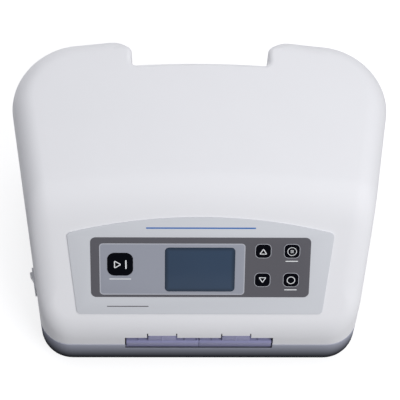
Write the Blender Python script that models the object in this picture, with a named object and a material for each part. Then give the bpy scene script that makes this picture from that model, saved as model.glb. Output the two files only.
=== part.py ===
"""Compression therapy pump: a portable air pump with two plugged hose sockets, built piece by piece.

Metres, +Z up. The origin is on the standing surface, under the middle of the body. -Y is the front.
"""

import math

import bmesh
import bpy
from mathutils import Matrix, Vector

# General clearances and tessellation
GAP = 0.0003
OVERRUN = 0.002
ROUND_SIDES = 20
SMALL_SIDES = 8
FAST_MERGE = 0.00001

# Body plan, seen from above
DEPTH = 0.223
PANEL_SIDE_MARGIN = 0.0295
REAR_FLARE = 0.036
FRONT_CORNER_RADIUS = 0.027
REAR_CORNER_RADIUS = 0.056
EAR_CORNER_RADIUS = 0.017
EAR_SETBACK = 0.003
NOTCH_HALF_WIDTH = 0.0555
NOTCH_DEPTH = 0.029
NOTCH_BULGE = 0.0012
NOTCH_CORNER_RADIUS = 0.003
PLAN_STEP = 0.034
RIDGE_STEP = 0.0065

# Where the deck's grid is cut: shares of the deck's depth and of its half width
DECK_CUT_SHARES = (0.25, 0.5, 0.75)
WIDTH_CUT_SHARES = (-0.8, -0.6, -0.4, -0.2, 0.0, 0.2, 0.4, 0.6, 0.8)

# Body profile, seen from the side
FOOT_PROUD = 0.0025
SEAM_HEIGHT = 0.0461
FRONT_RISE = 0.0397
DECK_RISE = 0.02365
DECK_CROWN = 0.010
DECK_TILT = math.radians(0.7)
PANEL_SLOPE = math.radians(55.5)
PANEL_FOOT_INSET = 0.010
RIDGE_BLEND = 0.022
WALL_DRAFT = math.radians(0.5)
SIDE_SETBACK = 0.019
LIP_SETBACK = 0.0156
NOTCH_SETBACK = 0.005
SETBACK_RUN = 0.030
CORNER_SETBACK_SHARE = 0.95
BASE_SETBACK = 0.022
BASE_NOTCH_SETBACK = 0.007
EDGE_STEPS = 4
COVER_WALL = 0.0025
TONGUE_WALL = 0.0012
TONGUE_RISE = 0.004

# Carrying pocket under the rear edge of the deck
POCKET_HALF_WIDTH = 0.046
POCKET_HEIGHT = 0.036
POCKET_DEPTH = 0.030
POCKET_DROP = 0.028

# Case screws, their posts in the base and their bosses in the cover
SCREW_FRONT_X_SHARE = 0.80
SCREW_REAR_X_SHARE = 0.84
SCREW_FRONT_INSET = 0.034
SCREW_REAR_INSET = 0.040
SCREW_SHANK_RADIUS = 0.0018
SCREW_HEAD_RADIUS = 0.0036
SCREW_HEAD_HEIGHT = 0.0024
SCREW_LENGTH = 0.052
POST_DROP = 0.006
POST_RADIUS = 0.0065
POST_BORE_RADIUS = 0.0024
BOSS_RADIUS = 0.006
BOSS_BOTTOM_GAP = 0.0006

# Feet
FOOT_RADIUS = 0.008
FOOT_HEIGHT = 0.004
FOOT_REACH_X_SHARE = 0.62
FOOT_FRONT_INSET = 0.048
FOOT_REAR_INSET = 0.080

# Label and control panel, in the plane of the slope
LABEL_FOOT_MARGIN = 0.0117
LABEL_TOP_MARGIN = 0.0187
LABEL_SIDE_RISE = 0.0034
LABEL_ARCH_RISE = 0.0145
LABEL_CORNER_RADIUS = 0.004
LABEL_THICKNESS = 0.0006
FASCIA_BOTTOM = 0.0163
FASCIA_RADIUS = 0.0045
FASCIA_THICKNESS = 0.0009
INLAY_SIDE_MARGIN = 0.0072
INLAY_BOTTOM_MARGIN = 0.0024
INLAY_TOP_MARGIN = 0.0054
INLAY_RADIUS = 0.003
WINDOW_WIDTH = 0.0568
WINDOW_HEIGHT = 0.0405
WINDOW_SIDE_MARGIN = 0.0080
WINDOW_BOTTOM_MARGIN = 0.0029
WINDOW_TOP_MARGIN = 0.0036
WINDOW_RADIUS = 0.0035
KEY_LARGE = 0.0208
KEY_SMALL = 0.0120
KEY_LARGE_RADIUS = 0.006
KEY_SMALL_RADIUS = 0.0036
KEY_PROUD = 0.0006
KEY_FLANGE = 0.0012
KEY_FLANGE_THICKNESS = 0.0008
KEY_TRAVEL = 0.0005
KEY_STEM_RADIUS = 0.0018
START_KEY_MARGIN = 0.0063
START_KEY_GAP = 0.0257
START_KEY_RAISE = 0.0031
SMALL_KEY_GAP = 0.0085
SMALL_KEY_MARGIN = 0.0091
SMALL_KEY_PITCH_X = 0.0232
SMALL_KEY_PITCH_Y = 0.0264
SMALL_KEY_RAISE = 0.0021
CARRIER_MARGIN = 0.004
CARRIER_FLANGE = 0.003
CARRIER_FLANGE_THICKNESS = 0.0015
WINDOW_LAND = 0.0015
MODULE_MARGIN = 0.004
MODULE_THICKNESS = 0.0036
BOARD_THICKNESS = 0.0016
KEYPAD_MARGIN = 0.003
SWITCH_DOME_RADIUS = 0.0022
SWITCH_DOME_HEIGHT = 0.0016

# Hose sockets at the front, with the plugs that close them
STRIP_HALF_WIDTH = 0.0619
STRIP_DROP = 0.0068
STRIP_HEIGHT = 0.0202
PLUG_HEIGHT = 0.0127
PLUG_SIDE_CLEARANCE = 0.0006
PLUG_CENTRE_GAP = 0.0005
PLUG_FACE_DEPTH = 0.006
PLUG_BODY_DEPTH = 0.016
PLUG_BODY_INSET = 0.003
PLUG_RIB_WIDTH = 0.0009
PLUG_RIB_HEIGHT = 0.0007
PLUG_RIB_SPACING = 0.0193
LATCH_WIDTH = 0.0252
LATCH_SLIT = 0.0008
LATCH_RISE = 0.0118
LATCH_THICKNESS = 0.0022
LATCH_INSET = 0.0010
LATCH_ROUND = 0.002
SOCKET_WALL = 0.0022
SOCKET_DEPTH = 0.034
SOCKET_CLEARANCE = 0.0004
PORT_RADIUS = 0.0014
PORT_COLUMNS = 6
PORT_ROWS = 2
PORT_PITCH_X = 0.0085
PORT_PITCH_Z = 0.0036

# Mains rocker on the left wall
ROCKER_INSET = 0.043
ROCKER_RAISE = 0.0314
ROCKER_BEZEL_LENGTH = 0.021
ROCKER_BEZEL_HEIGHT = 0.015
ROCKER_BEZEL_PROUD = 0.0015
ROCKER_RIM = 0.0018
ROCKER_BODY_DEPTH = 0.016
ROCKER_CAVITY_DEPTH = 0.008
ROCKER_PIVOT_DEPTH = 0.0015
ROCKER_HALF_LENGTH = 0.0076
ROCKER_END_REACH = 0.0037
ROCKER_MIDDLE_REACH = 0.0024
ROCKER_BACK_REACH = 0.0032
ROCKER_BACK_HALF_LENGTH = 0.0045
ROCKER_TILT = math.radians(11)
ROCKER_CLEARANCE = 0.0004

# Mains inlet and fan grille in the rear walls of the ears
INLET_SHIFT = 0.0048
INLET_RAISE = 0.0339
INLET_BODY_WIDTH = 0.0270
INLET_BODY_HEIGHT = 0.0195
INLET_BODY_DEPTH = 0.022
INLET_FLANGE = 0.0020
INLET_FLANGE_THICKNESS = 0.0018
INLET_CAVITY_WIDTH = 0.0225
INLET_CAVITY_HEIGHT = 0.0140
INLET_CAVITY_DEPTH = 0.016
INLET_CAVITY_CHAMFER = 0.004
PIN_WIDTH = 0.004
PIN_THICKNESS = 0.002
PIN_LENGTH = 0.011
PIN_SPACING = 0.007
PIN_RAISE = 0.002
FAN_SHIFT = 0.0038
FAN_RAISE = 0.0439
FAN_SIZE = 0.0350
FAN_THICKNESS = 0.010
FAN_GAP = 0.0009
FAN_RUN = 0.0006
FAN_BORE_RADIUS = 0.0164
FAN_HUB_RADIUS = 0.0085
FAN_BLADE_RADIUS = 0.0155
FAN_BLADES = 7
FAN_BLADE_CHORD = 0.0062
FAN_BLADE_THICKNESS = 0.0010
FAN_BLADE_PITCH = math.radians(38)
FAN_STRUT_WIDTH = 0.002
FAN_STRUT_THICKNESS = 0.0016
FAN_HUB_MOUNT_RADIUS = 0.0065
FAN_SPINDLE_RADIUS = 0.0012
VENT_SLOTS = 6
VENT_SLOT_HEIGHT = 0.0028
VENT_SLOT_WIDTH = 0.030
VENT_PITCH = 0.0058

# Air compressor on its sprung plate, rear left
PUMP_X = -0.086
PUMP_DEPTH_SHARE = 0.619
PLATE_LENGTH = 0.104
PLATE_WIDTH = 0.066
PLATE_THICKNESS = 0.002
ISOLATOR_RADIUS = 0.006
ISOLATOR_HEIGHT = 0.010
ISOLATOR_INSET = 0.009
ISOLATOR_WAIST = 0.0042
PUMP_PEG_RADIUS = 0.007
PUMP_PEG_HEIGHT = 0.004
MOTOR_RADIUS = 0.024
MOTOR_LENGTH = 0.050
MOTOR_CRADLE_WIDTH = 0.030
MOTOR_CRADLE_LENGTH = 0.040
CRANKCASE_LENGTH = 0.034
CRANKCASE_WIDTH = 0.052
CRANKCASE_HEIGHT = 0.050
CRANKCASE_WALL = 0.003
SHAFT_RADIUS = 0.003
SHAFT_CLEARANCE = 0.0004
CRANK_RADIUS = 0.016
CRANK_THICKNESS = 0.007
CRANK_PIN_RADIUS = 0.003
CRANK_PIN_OFFSET = 0.007
CRANK_PIN_LENGTH = 0.008
HEAD_HEIGHT = 0.016
HEAD_INSET = 0.002
NIPPLE_RADIUS = 0.003
NIPPLE_LENGTH = 0.010

# Rotary air distributor in the middle of the base
TUBE_RUN = 0.0136
DISTRIBUTOR_RADIUS = 0.024
DISTRIBUTOR_HEIGHT = 0.016
DISTRIBUTOR_POST_RADIUS = 0.012
OUTLET_BLOCK_REACH = 0.038
OUTLET_BLOCK_DEPTH = 0.020
OUTLET_BLOCK_HEIGHT = 0.012
OUTLET_RADIUS = 0.0024
OUTLET_LENGTH = 0.006
GEAR_MODULE = 0.0015
GEAR_TEETH = 40
PINION_TEETH = 12
GEAR_THICKNESS = 0.005
GEAR_BACKLASH = 0.0004
ROTOR_SPINDLE_RADIUS = 0.004
ROTOR_SPINDLE_LENGTH = 0.010
SPINDLE_CLEARANCE = 0.0004
PINION_SHAFT_RADIUS = 0.0015
TOOTH_ROOT_SHARE = 0.37
TOOTH_TIP_SHARE = 0.13
VALVE_MOTOR_RADIUS = 0.012
VALVE_MOTOR_HEIGHT = 0.026
VALVE_MOTOR_BEARING = 0.003
VALVE_POST_RADIUS = 0.008

# Hoses and tubes inside
HOSE_RADIUS = 0.004
HOSE_REACH = 0.020
HOSE_POINTS = 12
TUBE_LOBE_OVERLAP = 0.0002
TUBE_LOBE_STEPS = 6

# Electronics on the base
SUPPLY_X = 0.088
SUPPLY_DEPTH_SHARE = 0.538
SUPPLY_WIDTH = 0.070
SUPPLY_LENGTH = 0.104
STANDOFF_RADIUS = 0.003
STANDOFF_HEIGHT = 0.006
STANDOFF_INSET = 0.005
TRANSFORMER_SIZE = 0.038
TRANSFORMER_HEIGHT = 0.030
TRANSFORMER_COIL = 0.022
TRANSFORMER_COIL_BULGE = 0.004
CAPACITOR_RADIUS = 0.011
CAPACITOR_HEIGHT = 0.028
HEATSINK_LENGTH = 0.050
HEATSINK_WIDTH = 0.014
HEATSINK_HEIGHT = 0.024
HEATSINK_FINS = 4
HEATSINK_FIN = 0.0016
CONTROL_X = -0.088
CONTROL_DEPTH_SHARE = 0.296
CONTROL_WIDTH = 0.070
CONTROL_LENGTH = 0.044
CHIP_SIZE = 0.014
CHIP_HEIGHT = 0.0018
SENSOR_SIZE = 0.010
SENSOR_HEIGHT = 0.007

# Colour, roughness, metal share and opacity of each material
PAINTS = {
    "moulded_white_plastic": ((0.80, 0.80, 0.82), 0.42, 0.0, 1.0),
    "moulded_grey_plastic": ((0.33, 0.34, 0.37), 0.45, 0.0, 1.0),
    "printed_label_grey": ((0.50, 0.51, 0.53), 0.50, 0.0, 1.0),
    "printed_dark_grey": ((0.11, 0.11, 0.12), 0.50, 0.0, 1.0),
    "printed_mid_grey": ((0.29, 0.30, 0.33), 0.50, 0.0, 1.0),
    "display_slate": ((0.055, 0.085, 0.14), 0.15, 0.0, 1.0),
    "black_plastic": ((0.012, 0.012, 0.016), 0.45, 0.0, 1.0),
    "dark_grey_plastic": ((0.10, 0.10, 0.11), 0.50, 0.0, 1.0),
    "lilac_plastic": ((0.25, 0.22, 0.42), 0.45, 0.0, 1.0),
    "natural_nylon": ((0.72, 0.71, 0.66), 0.50, 0.0, 1.0),
    "green_circuit_board": ((0.02, 0.16, 0.06), 0.50, 0.0, 1.0),
    "black_rubber": ((0.03, 0.03, 0.03), 0.80, 0.0, 1.0),
    "clear_silicone": ((0.78, 0.80, 0.80), 0.35, 0.0, 0.8),
    "capacitor_sleeve": ((0.03, 0.07, 0.20), 0.40, 0.0, 1.0),
    "zinc_plated_steel": ((0.62, 0.63, 0.65), 0.35, 1.0, 1.0),
    "aluminium": ((0.70, 0.71, 0.72), 0.40, 1.0, 1.0),
    "cast_alloy": ((0.50, 0.51, 0.52), 0.55, 1.0, 1.0),
    "brass": ((0.72, 0.52, 0.20), 0.35, 1.0, 1.0),
}

# Panel sizes and places worked out from the sizes above
INLAY_WIDTH = START_KEY_MARGIN + KEY_LARGE + START_KEY_GAP + WINDOW_WIDTH + WINDOW_SIDE_MARGIN
INLAY_HEIGHT = WINDOW_HEIGHT + WINDOW_BOTTOM_MARGIN + WINDOW_TOP_MARGIN
SMALL_KEYS_WIDTH = SMALL_KEY_GAP + SMALL_KEY_PITCH_X + KEY_SMALL + SMALL_KEY_MARGIN
FASCIA_WIDTH = INLAY_SIDE_MARGIN + INLAY_WIDTH + SMALL_KEYS_WIDTH
FASCIA_HEIGHT = INLAY_BOTTOM_MARGIN + INLAY_HEIGHT + INLAY_TOP_MARGIN
FASCIA_MIDDLE = FASCIA_BOTTOM + FASCIA_HEIGHT / 2
INLAY_LEFT = -FASCIA_WIDTH / 2 + INLAY_SIDE_MARGIN
INLAY_X = INLAY_LEFT + INLAY_WIDTH / 2
INLAY_Y = FASCIA_BOTTOM + INLAY_BOTTOM_MARGIN + INLAY_HEIGHT / 2
WINDOW_X = INLAY_LEFT + INLAY_WIDTH - WINDOW_SIDE_MARGIN - WINDOW_WIDTH / 2
WINDOW_Y = FASCIA_BOTTOM + INLAY_BOTTOM_MARGIN + WINDOW_BOTTOM_MARGIN + WINDOW_HEIGHT / 2
START_KEY_X = INLAY_LEFT + START_KEY_MARGIN + KEY_LARGE / 2
START_KEY_Y = FASCIA_MIDDLE + START_KEY_RAISE
SMALL_KEY_LEFT_X = INLAY_LEFT + INLAY_WIDTH + SMALL_KEY_GAP + KEY_SMALL / 2
SMALL_KEY_RIGHT_X = SMALL_KEY_LEFT_X + SMALL_KEY_PITCH_X
SMALL_KEY_BOTTOM_Y = FASCIA_MIDDLE + SMALL_KEY_RAISE - SMALL_KEY_PITCH_Y / 2
SMALL_KEY_TOP_Y = SMALL_KEY_BOTTOM_Y + SMALL_KEY_PITCH_Y
LABEL_FOOT_HALF_WIDTH = FASCIA_WIDTH / 2 + LABEL_FOOT_MARGIN
LABEL_TOP_HALF_WIDTH = FASCIA_WIDTH / 2 + LABEL_TOP_MARGIN
LABEL_SIDE_HEIGHT = FASCIA_BOTTOM + FASCIA_HEIGHT + LABEL_SIDE_RISE
LABEL_HEIGHT = LABEL_SIDE_HEIGHT + LABEL_ARCH_RISE

# Body sizes and places worked out from the sizes above
FRONT_HALF_WIDTH = LABEL_FOOT_HALF_WIDTH + PANEL_SIDE_MARGIN
REAR_HALF_WIDTH = FRONT_HALF_WIDTH + REAR_FLARE
PANEL_FOOT_HEIGHT = SEAM_HEIGHT + FRONT_RISE
DECK_HEIGHT = PANEL_FOOT_HEIGHT + LABEL_HEIGHT * math.sin(PANEL_SLOPE) + DECK_RISE
FRONT_Y = -(DEPTH + INLET_FLANGE_THICKNESS) / 2
REAR_Y = FRONT_Y + DEPTH
BASE_BOTTOM = FOOT_PROUD
BASE_WALL = COVER_WALL + GAP + TONGUE_WALL
BASE_FLOOR = BASE_BOTTOM + BASE_WALL
POST_START = BASE_FLOOR - BASE_WALL / 2
WALL_TAPER = math.atan2(REAR_FLARE, DEPTH - EAR_SETBACK)
EAR_MIDDLE = (NOTCH_HALF_WIDTH + EAR_CORNER_RADIUS + REAR_HALF_WIDTH - REAR_CORNER_RADIUS) / 2
INLET_X = INLET_SHIFT - EAR_MIDDLE
FAN_X = EAR_MIDDLE - FAN_SHIFT
STRIP_BOTTOM = SEAM_HEIGHT - STRIP_DROP
STRIP_TOP = STRIP_BOTTOM + STRIP_HEIGHT
PLUG_TOP = STRIP_BOTTOM + PLUG_HEIGHT
PLUG_WIDTH = STRIP_HALF_WIDTH - PLUG_SIDE_CLEARANCE - PLUG_CENTRE_GAP / 2
PLUG_X = PLUG_CENTRE_GAP / 2 + PLUG_WIDTH / 2
PLUG_BOTTOM = STRIP_BOTTOM + PLUG_SIDE_CLEARANCE
PLUG_BODY_WIDTH = PLUG_WIDTH - 2 * PLUG_BODY_INSET
PLUG_BODY_HEIGHT = PLUG_TOP - PLUG_BOTTOM - 2 * PLUG_BODY_INSET
LATCH_TOP = PLUG_TOP + LATCH_RISE
HOUSING_WIDTH = PLUG_WIDTH - SOCKET_WALL
GEAR_PITCH_RADIUS = GEAR_MODULE * GEAR_TEETH / 2
PINION_PITCH_RADIUS = GEAR_MODULE * PINION_TEETH / 2
PINION_X = GEAR_PITCH_RADIUS + PINION_PITCH_RADIUS
CARRIER_THICKNESS = COVER_WALL + GAP
CARRIER_DEPTH = CARRIER_THICKNESS + CARRIER_FLANGE_THICKNESS
MODULE_TOP = -CARRIER_DEPTH - GAP
KEYPAD_TOP = MODULE_TOP - MODULE_THICKNESS - GAP
SOCKET_START = FRONT_Y + PLUG_FACE_DEPTH + SOCKET_CLEARANCE
SOCKET_MIDDLE = (PLUG_BOTTOM + PLUG_TOP) / 2
OUTLET_END_Y = SOCKET_START + SOCKET_DEPTH + TUBE_RUN
DISTRIBUTOR_Y = OUTLET_END_Y + OUTLET_LENGTH + OUTLET_BLOCK_REACH
DISTRIBUTOR_BOTTOM = SOCKET_MIDDLE - DISTRIBUTOR_HEIGHT / 2
ROTOR_BOTTOM = DISTRIBUTOR_BOTTOM + DISTRIBUTOR_HEIGHT + GAP
PUMP_Y = FRONT_Y + PUMP_DEPTH_SHARE * DEPTH
PLATE_BOTTOM = BASE_FLOOR + PUMP_PEG_HEIGHT + ISOLATOR_HEIGHT + 2 * GAP
PLATE_TOP = PLATE_BOTTOM + PLATE_THICKNESS
SHAFT_HEIGHT = PLATE_TOP + GAP + CRANKCASE_HEIGHT / 2
CRANKCASE_X = PUMP_X + PLATE_LENGTH / 2 - CRANKCASE_LENGTH / 2
MOTOR_X = CRANKCASE_X - CRANKCASE_LENGTH / 2 - GAP - MOTOR_LENGTH / 2
BOARD_BOTTOM = BASE_FLOOR + STANDOFF_HEIGHT + GAP
BOARD_TOP = BOARD_BOTTOM + BOARD_THICKNESS


def remove_all():
    """Empty the scene, so that the script gives the same result each time."""
    for obj in list(bpy.data.objects):
        bpy.data.objects.remove(obj, do_unlink=True)


def make_paints():
    """One plain surface for each entry of the table of colours."""
    paints = {}
    for name, (colour, roughness, metallic, alpha) in PAINTS.items():
        made = bpy.data.materials.new(name)
        made.use_nodes = True
        shader = made.node_tree.nodes["Principled BSDF"]
        shader.inputs["Base Color"].default_value = (*colour, 1.0)
        shader.inputs["Roughness"].default_value = roughness
        shader.inputs["Metallic"].default_value = metallic
        shader.inputs["Alpha"].default_value = alpha
        made.diffuse_color = (*colour, alpha)
        paints[name] = made
    return paints


# Placing and joining helpers


def add_object(name, bm, surface=None, frame=None, smooth_angle=None):
    """Turn a bmesh into an object, in the given local frame."""
    bmesh.ops.recalc_face_normals(bm, faces=bm.faces)
    mesh = bpy.data.meshes.new(name)
    bm.to_mesh(mesh)
    bm.free()
    if smooth_angle is not None:
        mesh.shade_smooth()
        mesh.set_sharp_from_angle(angle=smooth_angle)
    obj = bpy.data.objects.new(name, mesh)
    bpy.context.scene.collection.objects.link(obj)
    if surface is not None:
        mesh.materials.append(surface)
    if frame is not None:
        obj.parent = frame
    return obj


def add_empty(name, place, turn=None, frame=None):
    """An empty that stands for a local frame or a joint's axis."""
    obj = bpy.data.objects.new(name, None)
    bpy.context.scene.collection.objects.link(obj)
    obj.location = place
    if turn is not None:
        obj.rotation_euler = turn
    if frame is not None:
        obj.parent = frame
    return obj


def helper(obj):
    """Mark an object as a cutter or a filler, which is no piece itself."""
    obj.hide_render = True
    obj.display_type = "WIRE"
    return obj


def combine(target, other, operation, solver="EXACT"):
    """Cut or join another object into the target with a Boolean modifier."""
    helper(other)
    step = target.modifiers.new(operation.title(), "BOOLEAN")
    step.operation = operation
    step.object = other
    step.solver = solver
    return target


def cut(target, other):
    """Take the other object's volume out of the target."""
    return combine(target, other, "DIFFERENCE")


def fuse(target, other):
    """Make the other object's volume part of the target."""
    return combine(target, other, "UNION")


def box_mesh(size, centre, turn=None):
    """A box as a bmesh."""
    bm = bmesh.new()
    bmesh.ops.create_cube(bm, size=1.0)
    bmesh.ops.scale(bm, vec=size, verts=bm.verts)
    if turn is not None:
        bmesh.ops.rotate(bm, cent=(0, 0, 0), matrix=turn, verts=bm.verts)
    bmesh.ops.translate(bm, vec=centre, verts=bm.verts)
    return bm


def add_box(name, size, centre, surface=None, frame=None, turn=None):
    """A box-shaped object."""
    return add_object(name, box_mesh(size, centre, turn), surface, frame)


def axis_turn(axis):
    """The matrix that turns +Z onto one of the three axes."""
    if axis == "X":
        return Matrix.Rotation(math.pi / 2, 3, "Y")
    if axis == "Y":
        return Matrix.Rotation(-math.pi / 2, 3, "X")
    return Matrix.Identity(3)


def add_turned(name, profile, centre, axis="Z", sides=ROUND_SIDES, surface=None, frame=None):
    """A closed turned solid from (radius, height) points listed from the bottom to the top."""
    bm = bmesh.new()
    rings = []
    for radius, height in profile:
        ring = []
        for index in range(sides):
            angle = 2 * math.pi * index / sides
            ring.append(bm.verts.new((radius * math.cos(angle), radius * math.sin(angle), height)))
        rings.append(ring)
    for low, high in zip(rings[:-1], rings[1:]):
        for index in range(sides):
            after = (index + 1) % sides
            bm.faces.new((low[index], low[after], high[after], high[index]))
    bm.faces.new(rings[0][::-1])
    bm.faces.new(rings[-1])
    bmesh.ops.rotate(bm, cent=(0, 0, 0), matrix=axis_turn(axis), verts=bm.verts)
    bmesh.ops.translate(bm, vec=centre, verts=bm.verts)
    return add_object(name, bm, surface, frame, math.radians(35))


def add_rod(name, radius, length, start, axis="Z", sides=ROUND_SIDES, surface=None, frame=None):
    """A round rod that starts at a point and runs along an axis."""
    return add_turned(name, ((radius, 0.0), (radius, length)), start, axis, sides, surface, frame)


def add_prism(name, outline, low, high, surface=None, frame=None, smooth_angle=None):
    """A flat outline pushed up from one height to another."""
    bm = bmesh.new()
    bottom = [bm.verts.new((x, y, low)) for x, y in outline]
    top = [bm.verts.new((x, y, high)) for x, y in outline]
    bm.faces.new(bottom[::-1])
    bm.faces.new(top)
    for index in range(len(outline)):
        after = (index + 1) % len(outline)
        bm.faces.new((bottom[index], bottom[after], top[after], top[index]))
    return add_object(name, bm, surface, frame, smooth_angle)


# Plan shapes


def corner_arc(before, corner, after, radius, steps):
    """Points of the arc that rounds one corner of an outline."""
    corner = Vector(corner)
    back = (Vector(before) - corner).normalized()
    ahead = (Vector(after) - corner).normalized()
    half = back.angle(ahead) / 2
    centre = corner + (back + ahead).normalized() * radius / math.sin(half)
    start = corner + back * radius / math.tan(half) - centre
    end = corner + ahead * radius / math.tan(half) - centre
    first = math.atan2(start.y, start.x)
    turn = (math.atan2(end.y, end.x) - first + math.pi) % (2 * math.pi) - math.pi
    points = []
    for step in range(steps + 1):
        angle = first + turn * step / steps
        points.append(centre + radius * Vector((math.cos(angle), math.sin(angle))))
    return points


def round_outline(corners):
    """A closed outline from (x, y, radius, steps) corners, listed counter-clockwise."""
    points = []
    for index, (x, y, radius, steps) in enumerate(corners):
        before = corners[index - 1][:2]
        after = corners[(index + 1) % len(corners)][:2]
        if radius > 0:
            points.extend(corner_arc(before, (x, y), after, radius, steps))
        else:
            points.append(Vector((x, y)))
    return points


def round_rectangle(width, height, radius, centre=(0.0, 0.0), steps=3):
    """A rectangle with rounded corners."""
    x, y = width / 2, height / 2
    corners = ((-x, -y), (x, -y), (x, y), (-x, y))
    return round_outline([(centre[0] + u, centre[1] + v, radius, steps) for u, v in corners])


def body_plan():
    """The outline of the body at the seam, counter-clockwise from the front centre."""
    notch_y = REAR_Y - NOTCH_DEPTH
    corners = (
        (0.0, FRONT_Y, 0.0, 0),
        (FRONT_HALF_WIDTH, FRONT_Y, FRONT_CORNER_RADIUS, 5),
        (REAR_HALF_WIDTH, REAR_Y - EAR_SETBACK, REAR_CORNER_RADIUS, 8),
        (NOTCH_HALF_WIDTH, REAR_Y, EAR_CORNER_RADIUS, 4),
        (NOTCH_HALF_WIDTH, notch_y, NOTCH_CORNER_RADIUS, 2),
        (0.0, notch_y + NOTCH_BULGE, 0.0, 0),
    )
    right = [Vector(corners[0][:2])]
    for index in range(1, len(corners) - 1):
        x, y, radius, steps = corners[index]
        right.extend(
            corner_arc(corners[index - 1][:2], (x, y), corners[index + 1][:2], radius, steps)
        )
    right.append(Vector(corners[-1][:2]))
    half = [right[0]]
    for point in right[1:]:
        half.extend(stretch_points(half[-1], point))
    left = [Vector((-point.x, point.y)) for point in reversed(half[1:-1])]
    return half + left


def ridge_middle():
    """Where the slope would meet the deck in the middle of the body, if nothing blended them."""
    return FRONT_Y + PANEL_FOOT_INSET + (DECK_HEIGHT - PANEL_FOOT_HEIGHT) / math.tan(PANEL_SLOPE)


def ridge_limits():
    """The front and rear ends of the ridge's blend on the side walls."""
    half_run = RIDGE_BLEND / math.tan(PANEL_SLOPE)
    return ridge_middle() - half_run - RIDGE_STEP, ridge_middle() + half_run


def stretch_points(start, end):
    """Points along a straight stretch after its start, closer together beside the ridge."""
    front, rear = ridge_limits()
    if end.y - start.y < rear - front:
        stops = [0.0, 1.0]
    else:
        stops = [0.0]
        stops += [(y - start.y) / (end.y - start.y) for y in (front, rear)]
        stops.append(1.0)
    points = []
    for index in range(1, len(stops)):
        low, high = start.lerp(end, stops[index - 1]), start.lerp(end, stops[index])
        step = RIDGE_STEP if len(stops) > 2 and index == 2 else PLAN_STEP
        pieces = max(1, math.ceil((high - low).length / step))
        points.extend(low.lerp(high, piece / pieces) for piece in range(1, pieces + 1))
    return points


def inset(points, distances):
    """The outline moved inward by a distance at each point."""
    moved = []
    count = len(points)
    for index, point in enumerate(points):
        before = (point - points[index - 1]).normalized()
        after = (points[(index + 1) % count] - point).normalized()
        inward = Vector((-before.y, before.x)) + Vector((-after.y, after.x))
        inward.normalize()
        stretch = max(inward.dot(Vector((-after.y, after.x))), 0.5)
        moved.append(point + inward * distances[index] / stretch)
    return moved


def smooth_share(value):
    """A share that eases from 0 to 1."""
    value = min(max(value, 0.0), 1.0)
    return value * value * (3 - 2 * value)


def top_height(x, y):
    """Height of the cover's upper surface: a sloped panel that blends into a crowned deck."""
    slope = PANEL_FOOT_HEIGHT + (y - FRONT_Y - PANEL_FOOT_INSET) * math.tan(PANEL_SLOPE)
    deck = DECK_HEIGHT - DECK_CROWN * (x / REAR_HALF_WIDTH) ** 2
    deck += (y - REAR_Y) * math.tan(DECK_TILT)
    mix = min(max(0.5 + 0.5 * (deck - slope) / RIDGE_BLEND, 0.0), 1.0)
    return deck * (1 - mix) + slope * mix - RIDGE_BLEND * mix * (1 - mix)


def edge_setback(point, outward, side, notch):
    """How far from the edge the rounding starts: less in the notch than on the sides."""
    beyond = abs(point.x) - NOTCH_HALF_WIDTH
    if point.y < REAR_Y - NOTCH_DEPTH - SETBACK_RUN:
        return side
    if beyond < GAP:
        return notch
    corner = min(side, EAR_CORNER_RADIUS * CORNER_SETBACK_SHARE)
    if beyond < EAR_CORNER_RADIUS - GAP:
        return notch + (corner - notch) * smooth_share(outward.y)
    return corner + (side - corner) * smooth_share((beyond - EAR_CORNER_RADIUS) / SETBACK_RUN)


def outward_normals(points):
    """The unit vectors that point out of an outline at each of its points."""
    inner = inset(points, [COVER_WALL] * len(points))
    return [(point - inside).normalized() for point, inside in zip(points, inner)]


def cover_setback(point, outward):
    """The setback of the cover's upper edge, a little shorter on the front lip."""
    lip = smooth_share((point.y - FRONT_Y) / FRONT_CORNER_RADIUS)
    side = LIP_SETBACK + (SIDE_SETBACK - LIP_SETBACK) * lip
    return edge_setback(point, outward, side, NOTCH_SETBACK)


def cover_rings():
    """The closed rings of the cover's outer surface, from the seam to the end of the edge rounding."""
    plan = body_plan()
    normals = outward_normals(plan)
    setbacks = [cover_setback(point, outward) for point, outward in zip(plan, normals)]
    wall_tops = [top_height(*point) - setback for point, setback in zip(plan, setbacks)]
    drafts = [(height - SEAM_HEIGHT) * math.tan(WALL_DRAFT) for height in wall_tops]
    wall = inset(plan, drafts)
    seam = [Vector((*point, SEAM_HEIGHT + GAP)) for point in plan]
    rings = [seam, [Vector((*point, height)) for point, height in zip(wall, wall_tops)]]
    edges = []
    for outward, setback in zip(normals, setbacks):
        share = smooth_share((-outward.y - math.sin(WALL_TAPER)) / (1 - math.sin(WALL_TAPER)))
        pitch = math.atan(math.tan(PANEL_SLOPE) * share)
        turn = math.pi / 2 - pitch
        edges.append((pitch, turn, setback / math.tan(turn / 2)))
    for step in range(1, EDGE_STEPS + 1):
        reaches = []
        drops = []
        for (pitch, turn, radius), setback in zip(edges, setbacks):
            angle = turn * step / EDGE_STEPS
            reach = radius * (1 - math.cos(angle))
            reaches.append(reach)
            drops.append(max(reach * math.tan(pitch) + setback - radius * math.sin(angle), 0.0))
        ring = inset(wall, reaches)
        rings.append([Vector((*p, top_height(*p) - drop)) for p, drop in zip(ring, drops)])
    return rings


def bridge(bm, low, high):
    """Faces between two rings with the same number of points."""
    count = len(low)
    for index in range(count):
        after = (index + 1) % count
        bm.faces.new((low[index], low[after], high[after], high[index]))


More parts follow.
